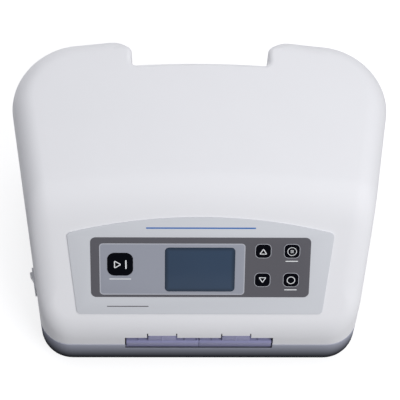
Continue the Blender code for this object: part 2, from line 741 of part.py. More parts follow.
def fill_deck(bm, ring):
    """Close the inner ring with a grid that follows the upper surface."""
    for vert in ring:
        vert.co.z = 0.0
    cap = bm.faces.new(ring)
    front, rear = ridge_limits()
    sides = [vert.co.y for vert in ring if vert.co.x > FRONT_HALF_WIDTH - SIDE_SETBACK]
    across = [y for y in sides if front < y < rear + RIDGE_STEP]
    run = REAR_Y - NOTCH_DEPTH - rear
    across += [rear + share * run for share in DECK_CUT_SHARES]
    cuts = [((0, y, 0), (0, 1, 0)) for y in across]
    cuts += [((share * REAR_HALF_WIDTH, 0, 0), (1, 0, 0)) for share in WIDTH_CUT_SHARES]
    faces = {cap}
    for place, normal in cuts:
        geometry = set(faces)
        for face in faces:
            geometry.update(face.edges)
            geometry.update(face.verts)
        before = set(bm.faces)
        bmesh.ops.bisect_plane(
            bm, geom=list(geometry), dist=FAST_MERGE, plane_co=place, plane_no=normal
        )
        faces |= set(bm.faces) - before
    for vert in {vert for face in faces for vert in face.verts}:
        vert.co.z = top_height(vert.co.x, vert.co.y)
    bmesh.ops.triangulate(bm, faces=list(faces))


def make_top_cover(paints):
    """The moulded cover: walls, rounded edges, sloped front and crowned deck, open below."""
    bm = bmesh.new()
    rings = [[bm.verts.new(point) for point in ring] for ring in cover_rings()]
    for low, high in zip(rings[:-1], rings[1:]):
        bridge(bm, low, high)
    fill_deck(bm, rings[-1])
    cover = add_object("top_cover", bm, paints["moulded_white_plastic"], None, math.radians(40))
    shell = cover.modifiers.new("Wall", "SOLIDIFY")
    shell.thickness = COVER_WALL
    shell.offset = -1.0
    shell.use_even_offset = True
    return cover


def base_rings(wall):
    """The rings of the base's surface at a depth inside it, from the seam down to its flat floor."""
    plan = body_plan()
    radii = []
    for point, outward in zip(plan, outward_normals(plan)):
        radii.append(edge_setback(point, outward, BASE_SETBACK, BASE_NOTCH_SETBACK) - wall)
    rings = []
    for step in range(EDGE_STEPS + 1):
        angle = math.pi / 2 * step / EDGE_STEPS
        ring = inset(plan, [wall + radius * (1 - math.cos(angle)) for radius in radii])
        heights = [BASE_BOTTOM + wall + radius * (1 - math.sin(angle)) for radius in radii]
        rings.append([Vector((*point, height)) for point, height in zip(ring, heights)])
    return rings


def level_ring(depth, height):
    """The body's outline moved inward by a depth, at one height."""
    plan = body_plan()
    return [Vector((*point, height)) for point in inset(plan, [depth] * len(plan))]


def make_base_tray(paints):
    """The moulded base: a tray with rounded lower edges, and a tongue that locates the cover."""
    tongue_top = SEAM_HEIGHT + TONGUE_RISE
    outside = [level_ring(0.0, SEAM_HEIGHT)] + base_rings(0.0)
    inside = [
        level_ring(COVER_WALL + GAP, SEAM_HEIGHT),
        level_ring(COVER_WALL + GAP, tongue_top),
        level_ring(BASE_WALL, tongue_top),
    ] + base_rings(BASE_WALL)
    bm = bmesh.new()
    rings = [[bm.verts.new(point) for point in ring] for ring in outside[::-1] + inside]
    for low, high in zip(rings[:-1], rings[1:]):
        bridge(bm, low, high)
    bm.faces.new(rings[0])
    bm.faces.new(rings[-1])
    return add_object("base_tray", bm, paints["moulded_grey_plastic"], None, math.radians(40))


# Pieces that hold the case together


def screw_places():
    """Where the four case screws stand."""
    rows = (
        ("front", SCREW_FRONT_INSET, SCREW_FRONT_X_SHARE),
        ("rear", DEPTH - SCREW_REAR_INSET, SCREW_REAR_X_SHARE),
    )
    places = []
    for end, inset_y, share in rows:
        half = FRONT_HALF_WIDTH + inset_y * math.tan(WALL_TAPER)
        for side, sign in (("left", -1), ("right", 1)):
            places.append((f"{end}_{side}", sign * half * share, FRONT_Y + inset_y))
    return places


def foot_places():
    """Where the four feet stand."""
    places = []
    for end, inset_y in (("front", FOOT_FRONT_INSET), ("rear", DEPTH - FOOT_REAR_INSET)):
        half = FRONT_HALF_WIDTH + inset_y * math.tan(WALL_TAPER)
        for side, sign in (("left", -1), ("right", 1)):
            places.append((f"{end}_{side}", sign * half * FOOT_REACH_X_SHARE, FRONT_Y + inset_y))
    return places


def make_fastening(cover, base, paints):
    """Posts, bosses, screws and feet."""
    post_top = SEAM_HEIGHT - POST_DROP
    boss_bottom = post_top + BOSS_BOTTOM_GAP
    head_top = BASE_BOTTOM + SCREW_HEAD_HEIGHT + OVERRUN
    for label, x, y in screw_places():
        roof = min(top_height(x, y), top_height(x, y - BOSS_RADIUS))
        fuse(base, add_rod("post", POST_RADIUS, post_top - POST_START,
                           (x, y, POST_START), sides=SMALL_SIDES))
        cut(base, add_rod("post_bore", POST_BORE_RADIUS, post_top + OVERRUN,
                          (x, y, 0), sides=SMALL_SIDES))
        cut(base, add_rod("head_bore", SCREW_HEAD_RADIUS + GAP, head_top + GAP,
                          (x, y, 0), sides=SMALL_SIDES))
        fuse(cover, add_rod("boss", BOSS_RADIUS, roof - COVER_WALL / 2 - boss_bottom,
                            (x, y, boss_bottom), sides=SMALL_SIDES))
        screw_top = BASE_BOTTOM + OVERRUN + SCREW_LENGTH
        cut(cover, add_rod("pilot", SCREW_SHANK_RADIUS + GAP, screw_top - boss_bottom + 2 * OVERRUN,
                           (x, y, boss_bottom - OVERRUN), sides=SMALL_SIDES))
        profile = (
            (SCREW_HEAD_RADIUS, BASE_BOTTOM + OVERRUN),
            (SCREW_HEAD_RADIUS, head_top),
            (SCREW_SHANK_RADIUS, head_top),
            (SCREW_SHANK_RADIUS, screw_top),
        )
        add_turned(f"case_screw_{label}", profile, (x, y, 0), "Z", SMALL_SIDES,
                   paints["zinc_plated_steel"])
    for label, x, y in foot_places():
        cut(base, add_rod("foot_seat", FOOT_RADIUS + GAP, FOOT_HEIGHT - FOOT_PROUD + GAP + OVERRUN,
                          (x, y, BASE_BOTTOM - OVERRUN)))
        edge = FOOT_PROUD / 4
        profile = ((FOOT_RADIUS - edge, 0.0), (FOOT_RADIUS, edge), (FOOT_RADIUS, FOOT_HEIGHT))
        add_turned(f"foot_{label}", profile, (x, y, 0), "Z", ROUND_SIDES, paints["black_rubber"])


def make_carry_pocket(cover):
    """The pocket for the fingers, in the wall under the deck's rear edge."""
    mouth_y = REAR_Y - NOTCH_DEPTH + NOTCH_BULGE + OVERRUN
    wall_y = REAR_Y - NOTCH_DEPTH
    top = top_height(0, wall_y) - POCKET_DROP
    floor_y = wall_y - POCKET_DEPTH
    inside = (2 * POCKET_HALF_WIDTH, mouth_y - floor_y, POCKET_HEIGHT)
    centre = Vector((0, (mouth_y + floor_y) / 2, top - POCKET_HEIGHT / 2))
    outside_depth = wall_y - COVER_WALL / 2 - floor_y + COVER_WALL
    outside = (inside[0] + 2 * COVER_WALL, outside_depth, inside[2] + 2 * COVER_WALL)
    outside_y = wall_y - COVER_WALL / 2 - outside_depth / 2
    fuse(cover, add_box("pocket_shell", outside, (0, outside_y, centre.z)))
    cut(cover, add_box("pocket_space", inside, centre))


# Control panel


def key_places():
    """Name, place and size of each key in the plane of the panel."""
    return (
        ("start_stop", START_KEY_X, START_KEY_Y, KEY_LARGE, KEY_LARGE_RADIUS),
        ("up", SMALL_KEY_LEFT_X, SMALL_KEY_TOP_Y, KEY_SMALL, KEY_SMALL_RADIUS),
        ("down", SMALL_KEY_LEFT_X, SMALL_KEY_BOTTOM_Y, KEY_SMALL, KEY_SMALL_RADIUS),
        ("mode", SMALL_KEY_RIGHT_X, SMALL_KEY_TOP_Y, KEY_SMALL, KEY_SMALL_RADIUS),
        ("select", SMALL_KEY_RIGHT_X, SMALL_KEY_BOTTOM_Y, KEY_SMALL, KEY_SMALL_RADIUS),
    )


def label_outline():
    """The label: a trapezoid whose top edge is an arch."""
    radius = LABEL_CORNER_RADIUS
    points = round_outline((
        (-LABEL_FOOT_HALF_WIDTH, 0.0, radius, 3),
        (LABEL_FOOT_HALF_WIDTH, 0.0, radius, 3),
        (LABEL_TOP_HALF_WIDTH, LABEL_SIDE_HEIGHT, radius, 2),
        (0.0, LABEL_HEIGHT * 2 - LABEL_SIDE_HEIGHT, 0.0, 0),
        (-LABEL_TOP_HALF_WIDTH, LABEL_SIDE_HEIGHT, radius, 2),
    ))
    peak = max(range(len(points)), key=lambda index: points[index].y)
    left, right = points[peak + 1], points[peak - 1]
    arch_steps = 12
    arch = []
    for step in range(1, arch_steps):
        share = step / arch_steps
        lift = (LABEL_HEIGHT - right.y) * 4 * share * (1 - share)
        arch.append(right.lerp(left, share) + Vector((0, lift)))
    return points[:peak] + arch + points[peak + 1:]


def make_panel(cover, paints):
    """Label, fascia, inlay, window, keys and what stands behind them, in the panel's own frame."""
    foot = (0, FRONT_Y + PANEL_FOOT_INSET, PANEL_FOOT_HEIGHT)
    frame = add_empty("panel_frame", foot, (PANEL_SLOPE, 0, 0))
    fascia_centre = (0, FASCIA_MIDDLE)
    opening = (FASCIA_WIDTH - 2 * CARRIER_MARGIN, FASCIA_HEIGHT - 2 * CARRIER_MARGIN)
    panel_hole = (*opening, 2 * CARRIER_DEPTH + OVERRUN)
    cut(cover, add_box("panel_opening", panel_hole, (0, FASCIA_MIDDLE, 0), None, frame))

    label = add_prism("panel_label", label_outline(), GAP, GAP + LABEL_THICKNESS,
                      paints["printed_label_grey"], frame)
    cut_plate(label, (FASCIA_WIDTH, FASCIA_HEIGHT), FASCIA_RADIUS, fascia_centre, frame)
    fascia = add_plate("panel_fascia", (FASCIA_WIDTH, FASCIA_HEIGHT), FASCIA_RADIUS, fascia_centre,
                       paints["printed_dark_grey"], frame)
    inlay_size = (INLAY_WIDTH, INLAY_HEIGHT)
    inlay_centre = (INLAY_X, INLAY_Y)
    inlay = add_plate("panel_inlay", inlay_size, INLAY_RADIUS, inlay_centre,
                      paints["printed_mid_grey"], frame)
    cut_plate(fascia, inlay_size, INLAY_RADIUS, inlay_centre, frame)
    window_centre = (WINDOW_X, WINDOW_Y)
    window_size = (WINDOW_WIDTH, WINDOW_HEIGHT)
    add_plate("display_window", window_size, WINDOW_RADIUS, window_centre,
              paints["display_slate"], frame)
    cut_plate(inlay, window_size, WINDOW_RADIUS, window_centre, frame)

    carrier = make_carrier(frame, opening, paints)
    module_size = (WINDOW_WIDTH + 2 * MODULE_MARGIN, WINDOW_HEIGHT, MODULE_THICKNESS)
    module_z = MODULE_TOP - MODULE_THICKNESS / 2
    add_box("display_module", module_size, (*window_centre, module_z), paints["display_slate"], frame)
    keypad_size = (FASCIA_WIDTH - 2 * KEYPAD_MARGIN, FASCIA_HEIGHT - 2 * KEYPAD_MARGIN, BOARD_THICKNESS)
    keypad = add_box("keypad_board", keypad_size, (0, FASCIA_MIDDLE, KEYPAD_TOP - BOARD_THICKNESS / 2),
                     paints["green_circuit_board"], frame)
    for key in key_places():
        plate = inlay if key[0] == "start_stop" else fascia
        make_key(frame, carrier, plate, keypad, key, paints["black_plastic"])


def add_plate(name, size, radius, centre, surface, frame):
    """A thin plate with rounded corners that lies on the panel."""
    shape = round_rectangle(*size, radius, centre)
    return add_prism(name, shape, GAP, GAP + FASCIA_THICKNESS, surface, frame)


def cut_plate(plate, size, radius, centre, frame):
    """Make room in a plate for one that lies in it, with a gap all round."""
    hole = round_rectangle(size[0] + 2 * GAP, size[1] + 2 * GAP, radius + GAP, centre)
    return cut(plate, add_prism("plate_hole", hole, -OVERRUN, OVERRUN, None, frame))


def make_carrier(frame, opening, paints):
    """The moulded carrier that fills the panel's opening and holds the display and the keypad."""
    carrier_size = [side - 2 * GAP for side in opening]
    carrier = add_box("panel_carrier", (*carrier_size, CARRIER_DEPTH), (0, FASCIA_MIDDLE, -CARRIER_DEPTH / 2),
                      paints["natural_nylon"], frame)
    flange_size = [side + 2 * CARRIER_FLANGE for side in opening]
    flange_z = -CARRIER_THICKNESS - CARRIER_FLANGE_THICKNESS / 2
    fuse(carrier, add_box("carrier_flange", (*flange_size, CARRIER_FLANGE_THICKNESS),
                          (0, FASCIA_MIDDLE, flange_z), None, frame))
    view = (WINDOW_WIDTH - 2 * WINDOW_LAND, WINDOW_HEIGHT - 2 * WINDOW_LAND, 4 * CARRIER_DEPTH)
    cut(carrier, add_box("window_view", view, (WINDOW_X, WINDOW_Y, -CARRIER_DEPTH / 2), None, frame))
    length = -CARRIER_DEPTH - KEYPAD_TOP - GAP + CARRIER_FLANGE_THICKNESS / 2
    for sign_x in (-1, 1):
        for sign_y in (-1, 1):
            x = sign_x * (opening[0] / 2 - STANDOFF_RADIUS)
            y = FASCIA_MIDDLE + sign_y * (opening[1] / 2 - STANDOFF_RADIUS)
            fuse(carrier, add_rod("carrier_post", STANDOFF_RADIUS, length, (x, y, KEYPAD_TOP + GAP),
                                  sides=SMALL_SIDES, frame=frame))
    return carrier


def make_key(frame, carrier, plate, keypad, key, key_rubber):
    """One key with its flange and stem, its hole in the plate, its pocket and its switch."""
    name, x, y, size, radius = key
    top = GAP + FASCIA_THICKNESS + KEY_PROUD
    bottom = -GAP - KEY_FLANGE_THICKNESS
    joint = add_empty(f"{name}_axis", (x, y, top), None, frame)
    cap = round_rectangle(size, size, radius)
    piece = add_prism(f"{name}_key", cap, bottom - top, 0.0, key_rubber, joint)
    wide = size + 2 * KEY_FLANGE
    flange = round_rectangle(wide, wide, radius)
    fuse(piece, add_prism("key_flange", flange, bottom - top, -GAP - top, None, joint))
    stem_end = KEYPAD_TOP + SWITCH_DOME_HEIGHT + KEY_TRAVEL + GAP
    stem_length = bottom - stem_end + KEY_FLANGE_THICKNESS / 2
    fuse(piece, add_rod("key_stem", KEY_STEM_RADIUS, stem_length, (0, 0, stem_end - top),
                        sides=SMALL_SIDES, frame=joint))
    cut_plate(plate, (size, size), radius, (x, y), frame)
    pocket = round_rectangle(wide + 2 * GAP, wide + 2 * GAP, radius, (x, y))
    cut(carrier, add_prism("key_pocket", pocket, bottom - KEY_TRAVEL - GAP, OVERRUN, None, frame))
    cut(carrier, add_rod("stem_hole", KEY_STEM_RADIUS + 2 * GAP, CARRIER_DEPTH + 2 * OVERRUN,
                         (x, y, -CARRIER_DEPTH - OVERRUN), sides=SMALL_SIDES, frame=frame))
    dome_base = KEYPAD_TOP - BOARD_THICKNESS / 2
    fuse(keypad, add_rod("switch_dome", SWITCH_DOME_RADIUS, SWITCH_DOME_HEIGHT + BOARD_THICKNESS / 2,
                         (x, y, dome_base), sides=SMALL_SIDES, frame=frame))


# Hose sockets, plugs and latches


def make_sockets(cover, base, paints):
    """The front opening, and for each side a socket with its ports, a plug and a latch."""
    strip = 2 * STRIP_HALF_WIDTH
    through = 4 * COVER_WALL
    for target in (cover, base):
        cut(target, add_box("strip_opening", (strip, through + LIP_SETBACK, STRIP_TOP - STRIP_BOTTOM),
                            (0, FRONT_Y, (STRIP_TOP + STRIP_BOTTOM) / 2)))
    for label, sign in (("left", -1), ("right", 1)):
        make_socket(cover, base, label, sign * PLUG_X, paints)


def make_socket(cover, base, label, x, paints):
    """One socket: its housing, a plug that slides out of it and a sprung latch."""
    slot_depth = 4 * COVER_WALL + LIP_SETBACK
    slot = (LATCH_WIDTH + 2 * LATCH_SLIT, slot_depth, LATCH_TOP + LATCH_SLIT - SEAM_HEIGHT)
    cut(cover, add_box("latch_opening", slot, (x, FRONT_Y, SEAM_HEIGHT + slot[2] / 2)))
    joint = add_empty(f"plug_axis_{label}", (x, FRONT_Y, SOCKET_MIDDLE))
    make_plug(label, joint, paints["lilac_plastic"])
    make_latch(label, joint, paints["lilac_plastic"])
    make_housing(label, x, paints["natural_nylon"])
    shelf_top = PLUG_BOTTOM - GAP
    shelf_length = SOCKET_START + SOCKET_DEPTH - FRONT_Y - BASE_SETBACK
    shelf = (HOUSING_WIDTH, shelf_length, shelf_top - POST_START)
    shelf_y = FRONT_Y + BASE_SETBACK + shelf_length / 2
    fuse(base, add_box("socket_shelf", shelf, (x, shelf_y, shelf_top - shelf[2] / 2)))


def make_plug(label, joint, lilac):
    """The plug: a front bar with two ribs on top, and the body that fills the socket's mouth."""
    height = PLUG_TOP - PLUG_BOTTOM
    face_middle = PLUG_FACE_DEPTH / 2
    plug = add_box(f"hose_plug_{label}", (PLUG_WIDTH, PLUG_FACE_DEPTH, height), (0, face_middle, 0),
                   lilac, joint)
    body = (PLUG_BODY_WIDTH, face_middle + PLUG_BODY_DEPTH, PLUG_BODY_HEIGHT)
    fuse(plug, add_box("plug_body", body, (0, face_middle + body[1] / 2, 0), None, joint))
    for side in (-1, 1):
        rib = (PLUG_RIB_WIDTH, PLUG_FACE_DEPTH, 2 * PLUG_RIB_HEIGHT)
        fuse(plug, add_box("plug_rib", rib, (side * PLUG_RIB_SPACING, face_middle, height / 2),
                           None, joint))


def make_housing(label, x, plastic):
    """The socket's housing, with its mouth and two rows of air ports behind it."""
    outer = (HOUSING_WIDTH, SOCKET_DEPTH, LATCH_TOP + SOCKET_WALL - PLUG_BOTTOM)
    centre = (x, SOCKET_START + SOCKET_DEPTH / 2, PLUG_BOTTOM + outer[2] / 2)
    housing = add_box(f"hose_socket_{label}", outer, centre, plastic)
    mouth = (
        PLUG_BODY_WIDTH + 2 * SOCKET_CLEARANCE,
        PLUG_BODY_DEPTH + SOCKET_CLEARANCE + OVERRUN,
        PLUG_BODY_HEIGHT + 2 * SOCKET_CLEARANCE,
    )
    mouth_y = SOCKET_START - OVERRUN + mouth[1] / 2
    cut(housing, add_box("socket_mouth", mouth, (x, mouth_y, SOCKET_MIDDLE)))
    port_y = SOCKET_START + PLUG_BODY_DEPTH
    for column_x in port_columns():
        for row in range(PORT_ROWS):
            port_z = SOCKET_MIDDLE + (row - (PORT_ROWS - 1) / 2) * PORT_PITCH_Z
            cut(housing, add_rod("port", PORT_RADIUS, SOCKET_DEPTH, (x + column_x, port_y, port_z),
                                 "Y", SMALL_SIDES))


def port_columns():
    """The places of a socket's air ports, across its width."""
    return [(column - (PORT_COLUMNS - 1) / 2) * PORT_PITCH_X for column in range(PORT_COLUMNS)]


def make_latch(label, plug_joint, lilac):
    """The release tab that stands on a plug and springs back about its lower edge."""
    place = (0, LATCH_INSET + LATCH_THICKNESS / 2, PLUG_TOP + GAP - SOCKET_MIDDLE)
    joint = add_empty(f"latch_axis_{label}", place, None, plug_joint)
    shape = round_outline((
        (-LATCH_WIDTH / 2, 0.0, 0.0, 0),
        (LATCH_WIDTH / 2, 0.0, 0.0, 0),
        (LATCH_WIDTH / 2, LATCH_RISE - GAP, LATCH_ROUND, 3),
        (-LATCH_WIDTH / 2, LATCH_RISE - GAP, LATCH_ROUND, 3),
    ))
    half = LATCH_THICKNESS / 2
    tab = add_prism(f"latch_tab_{label}", shape, -half, half, lilac, joint)
    tab.data.transform(Matrix.Rotation(math.pi / 2, 4, "X"))


# Mains rocker, mains inlet and fan


def wall_frame(name, x, y, height, outward):
    """A frame on a wall of the cover whose local -Y points out of the wall."""
    lean = (height - SEAM_HEIGHT) * math.tan(WALL_DRAFT)
    place = Vector((x, y)) - lean * Vector((math.cos(outward), math.sin(outward)))
    return add_empty(name, (place.x, place.y, height), (0, 0, outward + math.pi / 2))


def rear_wall_frame(name, x, height):
    """A frame on the rear wall of an ear."""
    run = REAR_HALF_WIDTH - NOTCH_HALF_WIDTH
    slant = math.atan2(EAR_SETBACK, run)
    y = REAR_Y - (abs(x) - NOTCH_HALF_WIDTH) * math.tan(slant)
    outward = math.pi / 2 - math.copysign(slant, x)
    return wall_frame(name, x, y, height, outward)


def make_rocker(cover, paints):
    """The mains switch on the left wall: a bezel, and a rocker that tips between two stops."""
    x = -(FRONT_HALF_WIDTH + ROCKER_INSET * math.tan(WALL_TAPER))
    frame = wall_frame("rocker_frame", x, FRONT_Y + ROCKER_INSET, SEAM_HEIGHT + ROCKER_RAISE, math.pi + WALL_TAPER)
    body_length = ROCKER_BEZEL_LENGTH - ROCKER_RIM
    body_height = ROCKER_BEZEL_HEIGHT - ROCKER_RIM
    flange = (ROCKER_BEZEL_LENGTH, ROCKER_BEZEL_PROUD, ROCKER_BEZEL_HEIGHT)
    bezel = add_box("switch_bezel", flange, (0, -GAP - ROCKER_BEZEL_PROUD / 2, 0),
                    paints["dark_grey_plastic"], frame)
    body_depth = ROCKER_BODY_DEPTH + ROCKER_BEZEL_PROUD / 2
    body_y = ROCKER_BODY_DEPTH / 2 - ROCKER_BEZEL_PROUD / 4
    fuse(bezel, add_box("bezel_body", (body_length, body_depth, body_height), (0, body_y, 0), None, frame))
    cavity = (ROCKER_BEZEL_LENGTH - 2 * ROCKER_RIM, ROCKER_CAVITY_DEPTH + ROCKER_BEZEL_PROUD + OVERRUN,
              ROCKER_BEZEL_HEIGHT - 2 * ROCKER_RIM)
    cavity_y = ROCKER_CAVITY_DEPTH - cavity[1] / 2
    cut(bezel, add_box("rocker_cavity", cavity, (0, cavity_y, 0), None, frame))
    wall_hole = (body_length + 2 * GAP, 4 * COVER_WALL, body_height + 2 * GAP)
    cut(cover, add_box("switch_opening", wall_hole, (0, COVER_WALL, 0), None, frame))
    joint = add_empty("rocker_axis", (0, ROCKER_PIVOT_DEPTH, 0), (0, 0, ROCKER_TILT), frame)
    shape = (
        (-ROCKER_HALF_LENGTH, -ROCKER_END_REACH),
        (0.0, -ROCKER_MIDDLE_REACH),
        (ROCKER_HALF_LENGTH, -ROCKER_END_REACH),
        (ROCKER_HALF_LENGTH, 0.0),
        (ROCKER_BACK_HALF_LENGTH, ROCKER_BACK_REACH),
        (-ROCKER_BACK_HALF_LENGTH, ROCKER_BACK_REACH),
        (-ROCKER_HALF_LENGTH, 0.0),
    )
    half = cavity[2] / 2 - ROCKER_CLEARANCE
    add_prism("switch_rocker", shape, -half, half, paints["black_plastic"], joint)


def make_inlet(cover, paints):
    """The mains inlet in the rear wall of the left ear, with its three pins."""
    frame = rear_wall_frame("inlet_frame", INLET_X, SEAM_HEIGHT + INLET_RAISE)
    front = -GAP - INLET_FLANGE_THICKNESS
    flange = (
        INLET_BODY_WIDTH + 2 * INLET_FLANGE,
        INLET_FLANGE_THICKNESS,
        INLET_BODY_HEIGHT + 2 * INLET_FLANGE,
    )
    inlet = add_box("mains_inlet", flange, (0, front + INLET_FLANGE_THICKNESS / 2, 0),
                    paints["black_plastic"], frame)
    depth = INLET_BODY_DEPTH + INLET_FLANGE_THICKNESS / 2
    body = (INLET_BODY_WIDTH, depth, INLET_BODY_HEIGHT)
    fuse(inlet, add_box("inlet_body", body, (0, front / 2 + depth / 2, 0), None, frame))
    x, z, chamfer = INLET_CAVITY_WIDTH / 2, INLET_CAVITY_HEIGHT / 2, INLET_CAVITY_CHAMFER
    shape = (
        (-x, -z),
        (x, -z),
        (x, z - chamfer),
        (x - chamfer, z),
        (chamfer - x, z),
        (-x, z - chamfer),
    )
    cavity = add_prism("inlet_cavity", shape, front - OVERRUN, front + INLET_CAVITY_DEPTH, None, frame)
    cavity.data.transform(Matrix(((1, 0, 0, 0), (0, 0, 1, 0), (0, 1, 0, 0), (0, 0, 0, 1))))
    cavity.data.flip_normals()
    cut(inlet, cavity)
    pin_y = front + INLET_CAVITY_DEPTH - PIN_LENGTH / 2 + GAP
    for step, lift in ((-1, -PIN_RAISE), (0, PIN_RAISE), (1, -PIN_RAISE)):
        pin = (PIN_THICKNESS, PIN_LENGTH + GAP, PIN_WIDTH)
        fuse(inlet, add_box("inlet_pin", pin, (step * PIN_SPACING, pin_y, lift), None, frame))
    hole = (INLET_BODY_WIDTH + 2 * GAP, 4 * COVER_WALL, INLET_BODY_HEIGHT + 2 * GAP)
    cut(cover, add_box("inlet_opening", hole, (0, COVER_WALL, 0), None, frame))


def make_fan(cover, paints):
    """The cooling fan behind the slots in the rear wall of the right ear."""
    frame = rear_wall_frame("fan_frame_place", FAN_X, SEAM_HEIGHT + FAN_RAISE)
    near = COVER_WALL + FAN_GAP
    middle = near + FAN_THICKNESS / 2
    far = near + FAN_THICKNESS
    housing = add_box("fan_frame", (FAN_SIZE, FAN_THICKNESS, FAN_SIZE), (0, middle, 0),
                      paints["black_plastic"], frame)
    cut(housing, add_rod("fan_bore", FAN_BORE_RADIUS, FAN_THICKNESS + 2 * OVERRUN,
                         (0, near - OVERRUN, 0), "Y", frame=frame))
    strut = (2 * FAN_BORE_RADIUS + FAN_STRUT_WIDTH, FAN_STRUT_THICKNESS, FAN_STRUT_WIDTH)
    for angle in (math.pi / 4, -math.pi / 4):
        fuse(housing, add_box("fan_strut", strut, (0, far - FAN_STRUT_THICKNESS / 2, 0), None, frame,
                              Matrix.Rotation(angle, 3, "Y")))
    fuse(housing, add_rod("fan_mount", FAN_HUB_MOUNT_RADIUS, FAN_STRUT_THICKNESS,
                          (0, far - FAN_STRUT_THICKNESS, 0), "Y", SMALL_SIDES, None, frame))
    fuse(housing, add_rod("fan_spindle", FAN_SPINDLE_RADIUS, FAN_THICKNESS / 2,
                          (0, middle, 0), "Y", SMALL_SIDES, None, frame))
    joint = add_empty("fan_axis", (0, middle, 0), None, frame)
    make_fan_rotor(joint, near + FAN_RUN - middle, paints["dark_grey_plastic"])
    slot = (VENT_SLOT_WIDTH, 4 * COVER_WALL, VENT_SLOT_HEIGHT)
    for index in range(VENT_SLOTS):
        z = (index - (VENT_SLOTS - 1) / 2) * VENT_PITCH
        cut(cover, add_box("vent_slot", slot, (0, COVER_WALL, z), None, frame))


def make_fan_rotor(joint, hub_start, dark):
    """The fan's hub with its pitched blades, bored for the spindle."""
    hub_length = FAN_THICKNESS - FAN_STRUT_THICKNESS - 2 * FAN_RUN
    rotor = add_rod("fan_rotor", FAN_HUB_RADIUS, hub_length, (0, hub_start, 0), "Y",
                    surface=dark, frame=joint)
    sunk = FAN_BLADE_THICKNESS
    blade = (FAN_BLADE_RADIUS - FAN_HUB_RADIUS + sunk, FAN_BLADE_CHORD, FAN_BLADE_THICKNESS)
    for index in range(FAN_BLADES):
        turn = Matrix.Rotation(2 * math.pi * index / FAN_BLADES, 3, "Y")
        pitch = turn @ Matrix.Rotation(FAN_BLADE_PITCH, 3, "X")
        place = turn @ Vector(((FAN_BLADE_RADIUS + FAN_HUB_RADIUS - sunk) / 2, 0, 0))
        place.y = hub_start + hub_length / 2
        fuse(rotor, add_box("fan_blade", blade, place, None, joint, pitch))
    cut(rotor, add_rod("fan_hub_bore", FAN_SPINDLE_RADIUS + SPINDLE_CLEARANCE, FAN_THICKNESS,
                       (0, -SPINDLE_CLEARANCE, 0), "Y", SMALL_SIDES, None, joint))


# Compressor


def make_compressor(base, paints):
    """Motor, crankcase and head on a plate that stands on four rubber mounts."""
    add_box("pump_plate", (PLATE_LENGTH, PLATE_WIDTH, PLATE_THICKNESS),
            (PUMP_X, PUMP_Y, PLATE_BOTTOM + PLATE_THICKNESS / 2), paints["zinc_plated_steel"])
    make_pump_mounts(base, paints["black_rubber"])
    motor_start = (MOTOR_X - MOTOR_LENGTH / 2, PUMP_Y, SHAFT_HEIGHT)
    motor = add_rod("pump_motor", MOTOR_RADIUS, MOTOR_LENGTH, motor_start, "X",
                    surface=paints["aluminium"])
    cradle = (MOTOR_CRADLE_LENGTH, MOTOR_CRADLE_WIDTH, SHAFT_HEIGHT - PLATE_TOP - GAP)
    fuse(motor, add_box("motor_cradle", cradle, (MOTOR_X, PUMP_Y, SHAFT_HEIGHT - cradle[2] / 2)))
    make_crankcase(paints)
    return make_pump_head(paints["black_plastic"])


def make_pump_mounts(base, rubber):
    """The four waisted rubber mounts and the pegs of the base that they stand on."""
    foot = PLATE_BOTTOM - GAP - ISOLATOR_HEIGHT
    profile = (
        (ISOLATOR_RADIUS, foot),
        (ISOLATOR_RADIUS, foot + ISOLATOR_HEIGHT / 4),
        (ISOLATOR_WAIST, foot + ISOLATOR_HEIGHT / 2),
        (ISOLATOR_RADIUS, foot + ISOLATOR_HEIGHT * 3 / 4),
        (ISOLATOR_RADIUS, foot + ISOLATOR_HEIGHT),
    )
    for end, sign_y in (("front", -1), ("rear", 1)):
        for side, sign_x in (("left", -1), ("right", 1)):
            x = PUMP_X + sign_x * (PLATE_LENGTH / 2 - ISOLATOR_INSET)
            y = PUMP_Y + sign_y * (PLATE_WIDTH / 2 - ISOLATOR_INSET)
            fuse(base, add_rod("pump_peg", PUMP_PEG_RADIUS, PUMP_PEG_HEIGHT + BASE_WALL / 2,
                               (x, y, POST_START), sides=SMALL_SIDES))
            add_turned(f"pump_mount_{end}_{side}", profile, (x, y, 0), "Z", SMALL_SIDES, rubber)


def make_crankcase(paints):
    """The crankcase, open towards the middle of the case, and the crank that turns in it."""
    crankcase = add_box("pump_crankcase", (CRANKCASE_LENGTH, CRANKCASE_WIDTH, CRANKCASE_HEIGHT),
                        (CRANKCASE_X, PUMP_Y, SHAFT_HEIGHT), paints["cast_alloy"])
    space = (
        CRANKCASE_LENGTH,
        CRANKCASE_WIDTH - 2 * CRANKCASE_WALL,
        CRANKCASE_HEIGHT - 2 * CRANKCASE_WALL,
    )
    cut(crankcase, add_box("crank_space", space, (CRANKCASE_X + CRANKCASE_WALL, PUMP_Y, SHAFT_HEIGHT)))
    wall_x = CRANKCASE_X - CRANKCASE_LENGTH / 2
    cut(crankcase, add_rod("shaft_hole", SHAFT_RADIUS + SHAFT_CLEARANCE, CRANKCASE_WALL + 2 * OVERRUN,
                           (wall_x - OVERRUN, PUMP_Y, SHAFT_HEIGHT), "X"))
    joint = add_empty("crank_axis", (wall_x, PUMP_Y, SHAFT_HEIGHT))
    disc_x = CRANKCASE_LENGTH / 2
    crank = add_rod("pump_crank", SHAFT_RADIUS, disc_x, (0, 0, 0), "X",
                    surface=paints["zinc_plated_steel"], frame=joint)
    fuse(crank, add_rod("crank_disc", CRANK_RADIUS, CRANK_THICKNESS,
                        (disc_x - CRANK_THICKNESS / 2, 0, 0), "X", frame=joint))
    fuse(crank, add_rod("crank_pin", CRANK_PIN_RADIUS, CRANK_PIN_LENGTH, (disc_x, 0, CRANK_PIN_OFFSET),
                        "X", SMALL_SIDES, None, joint))


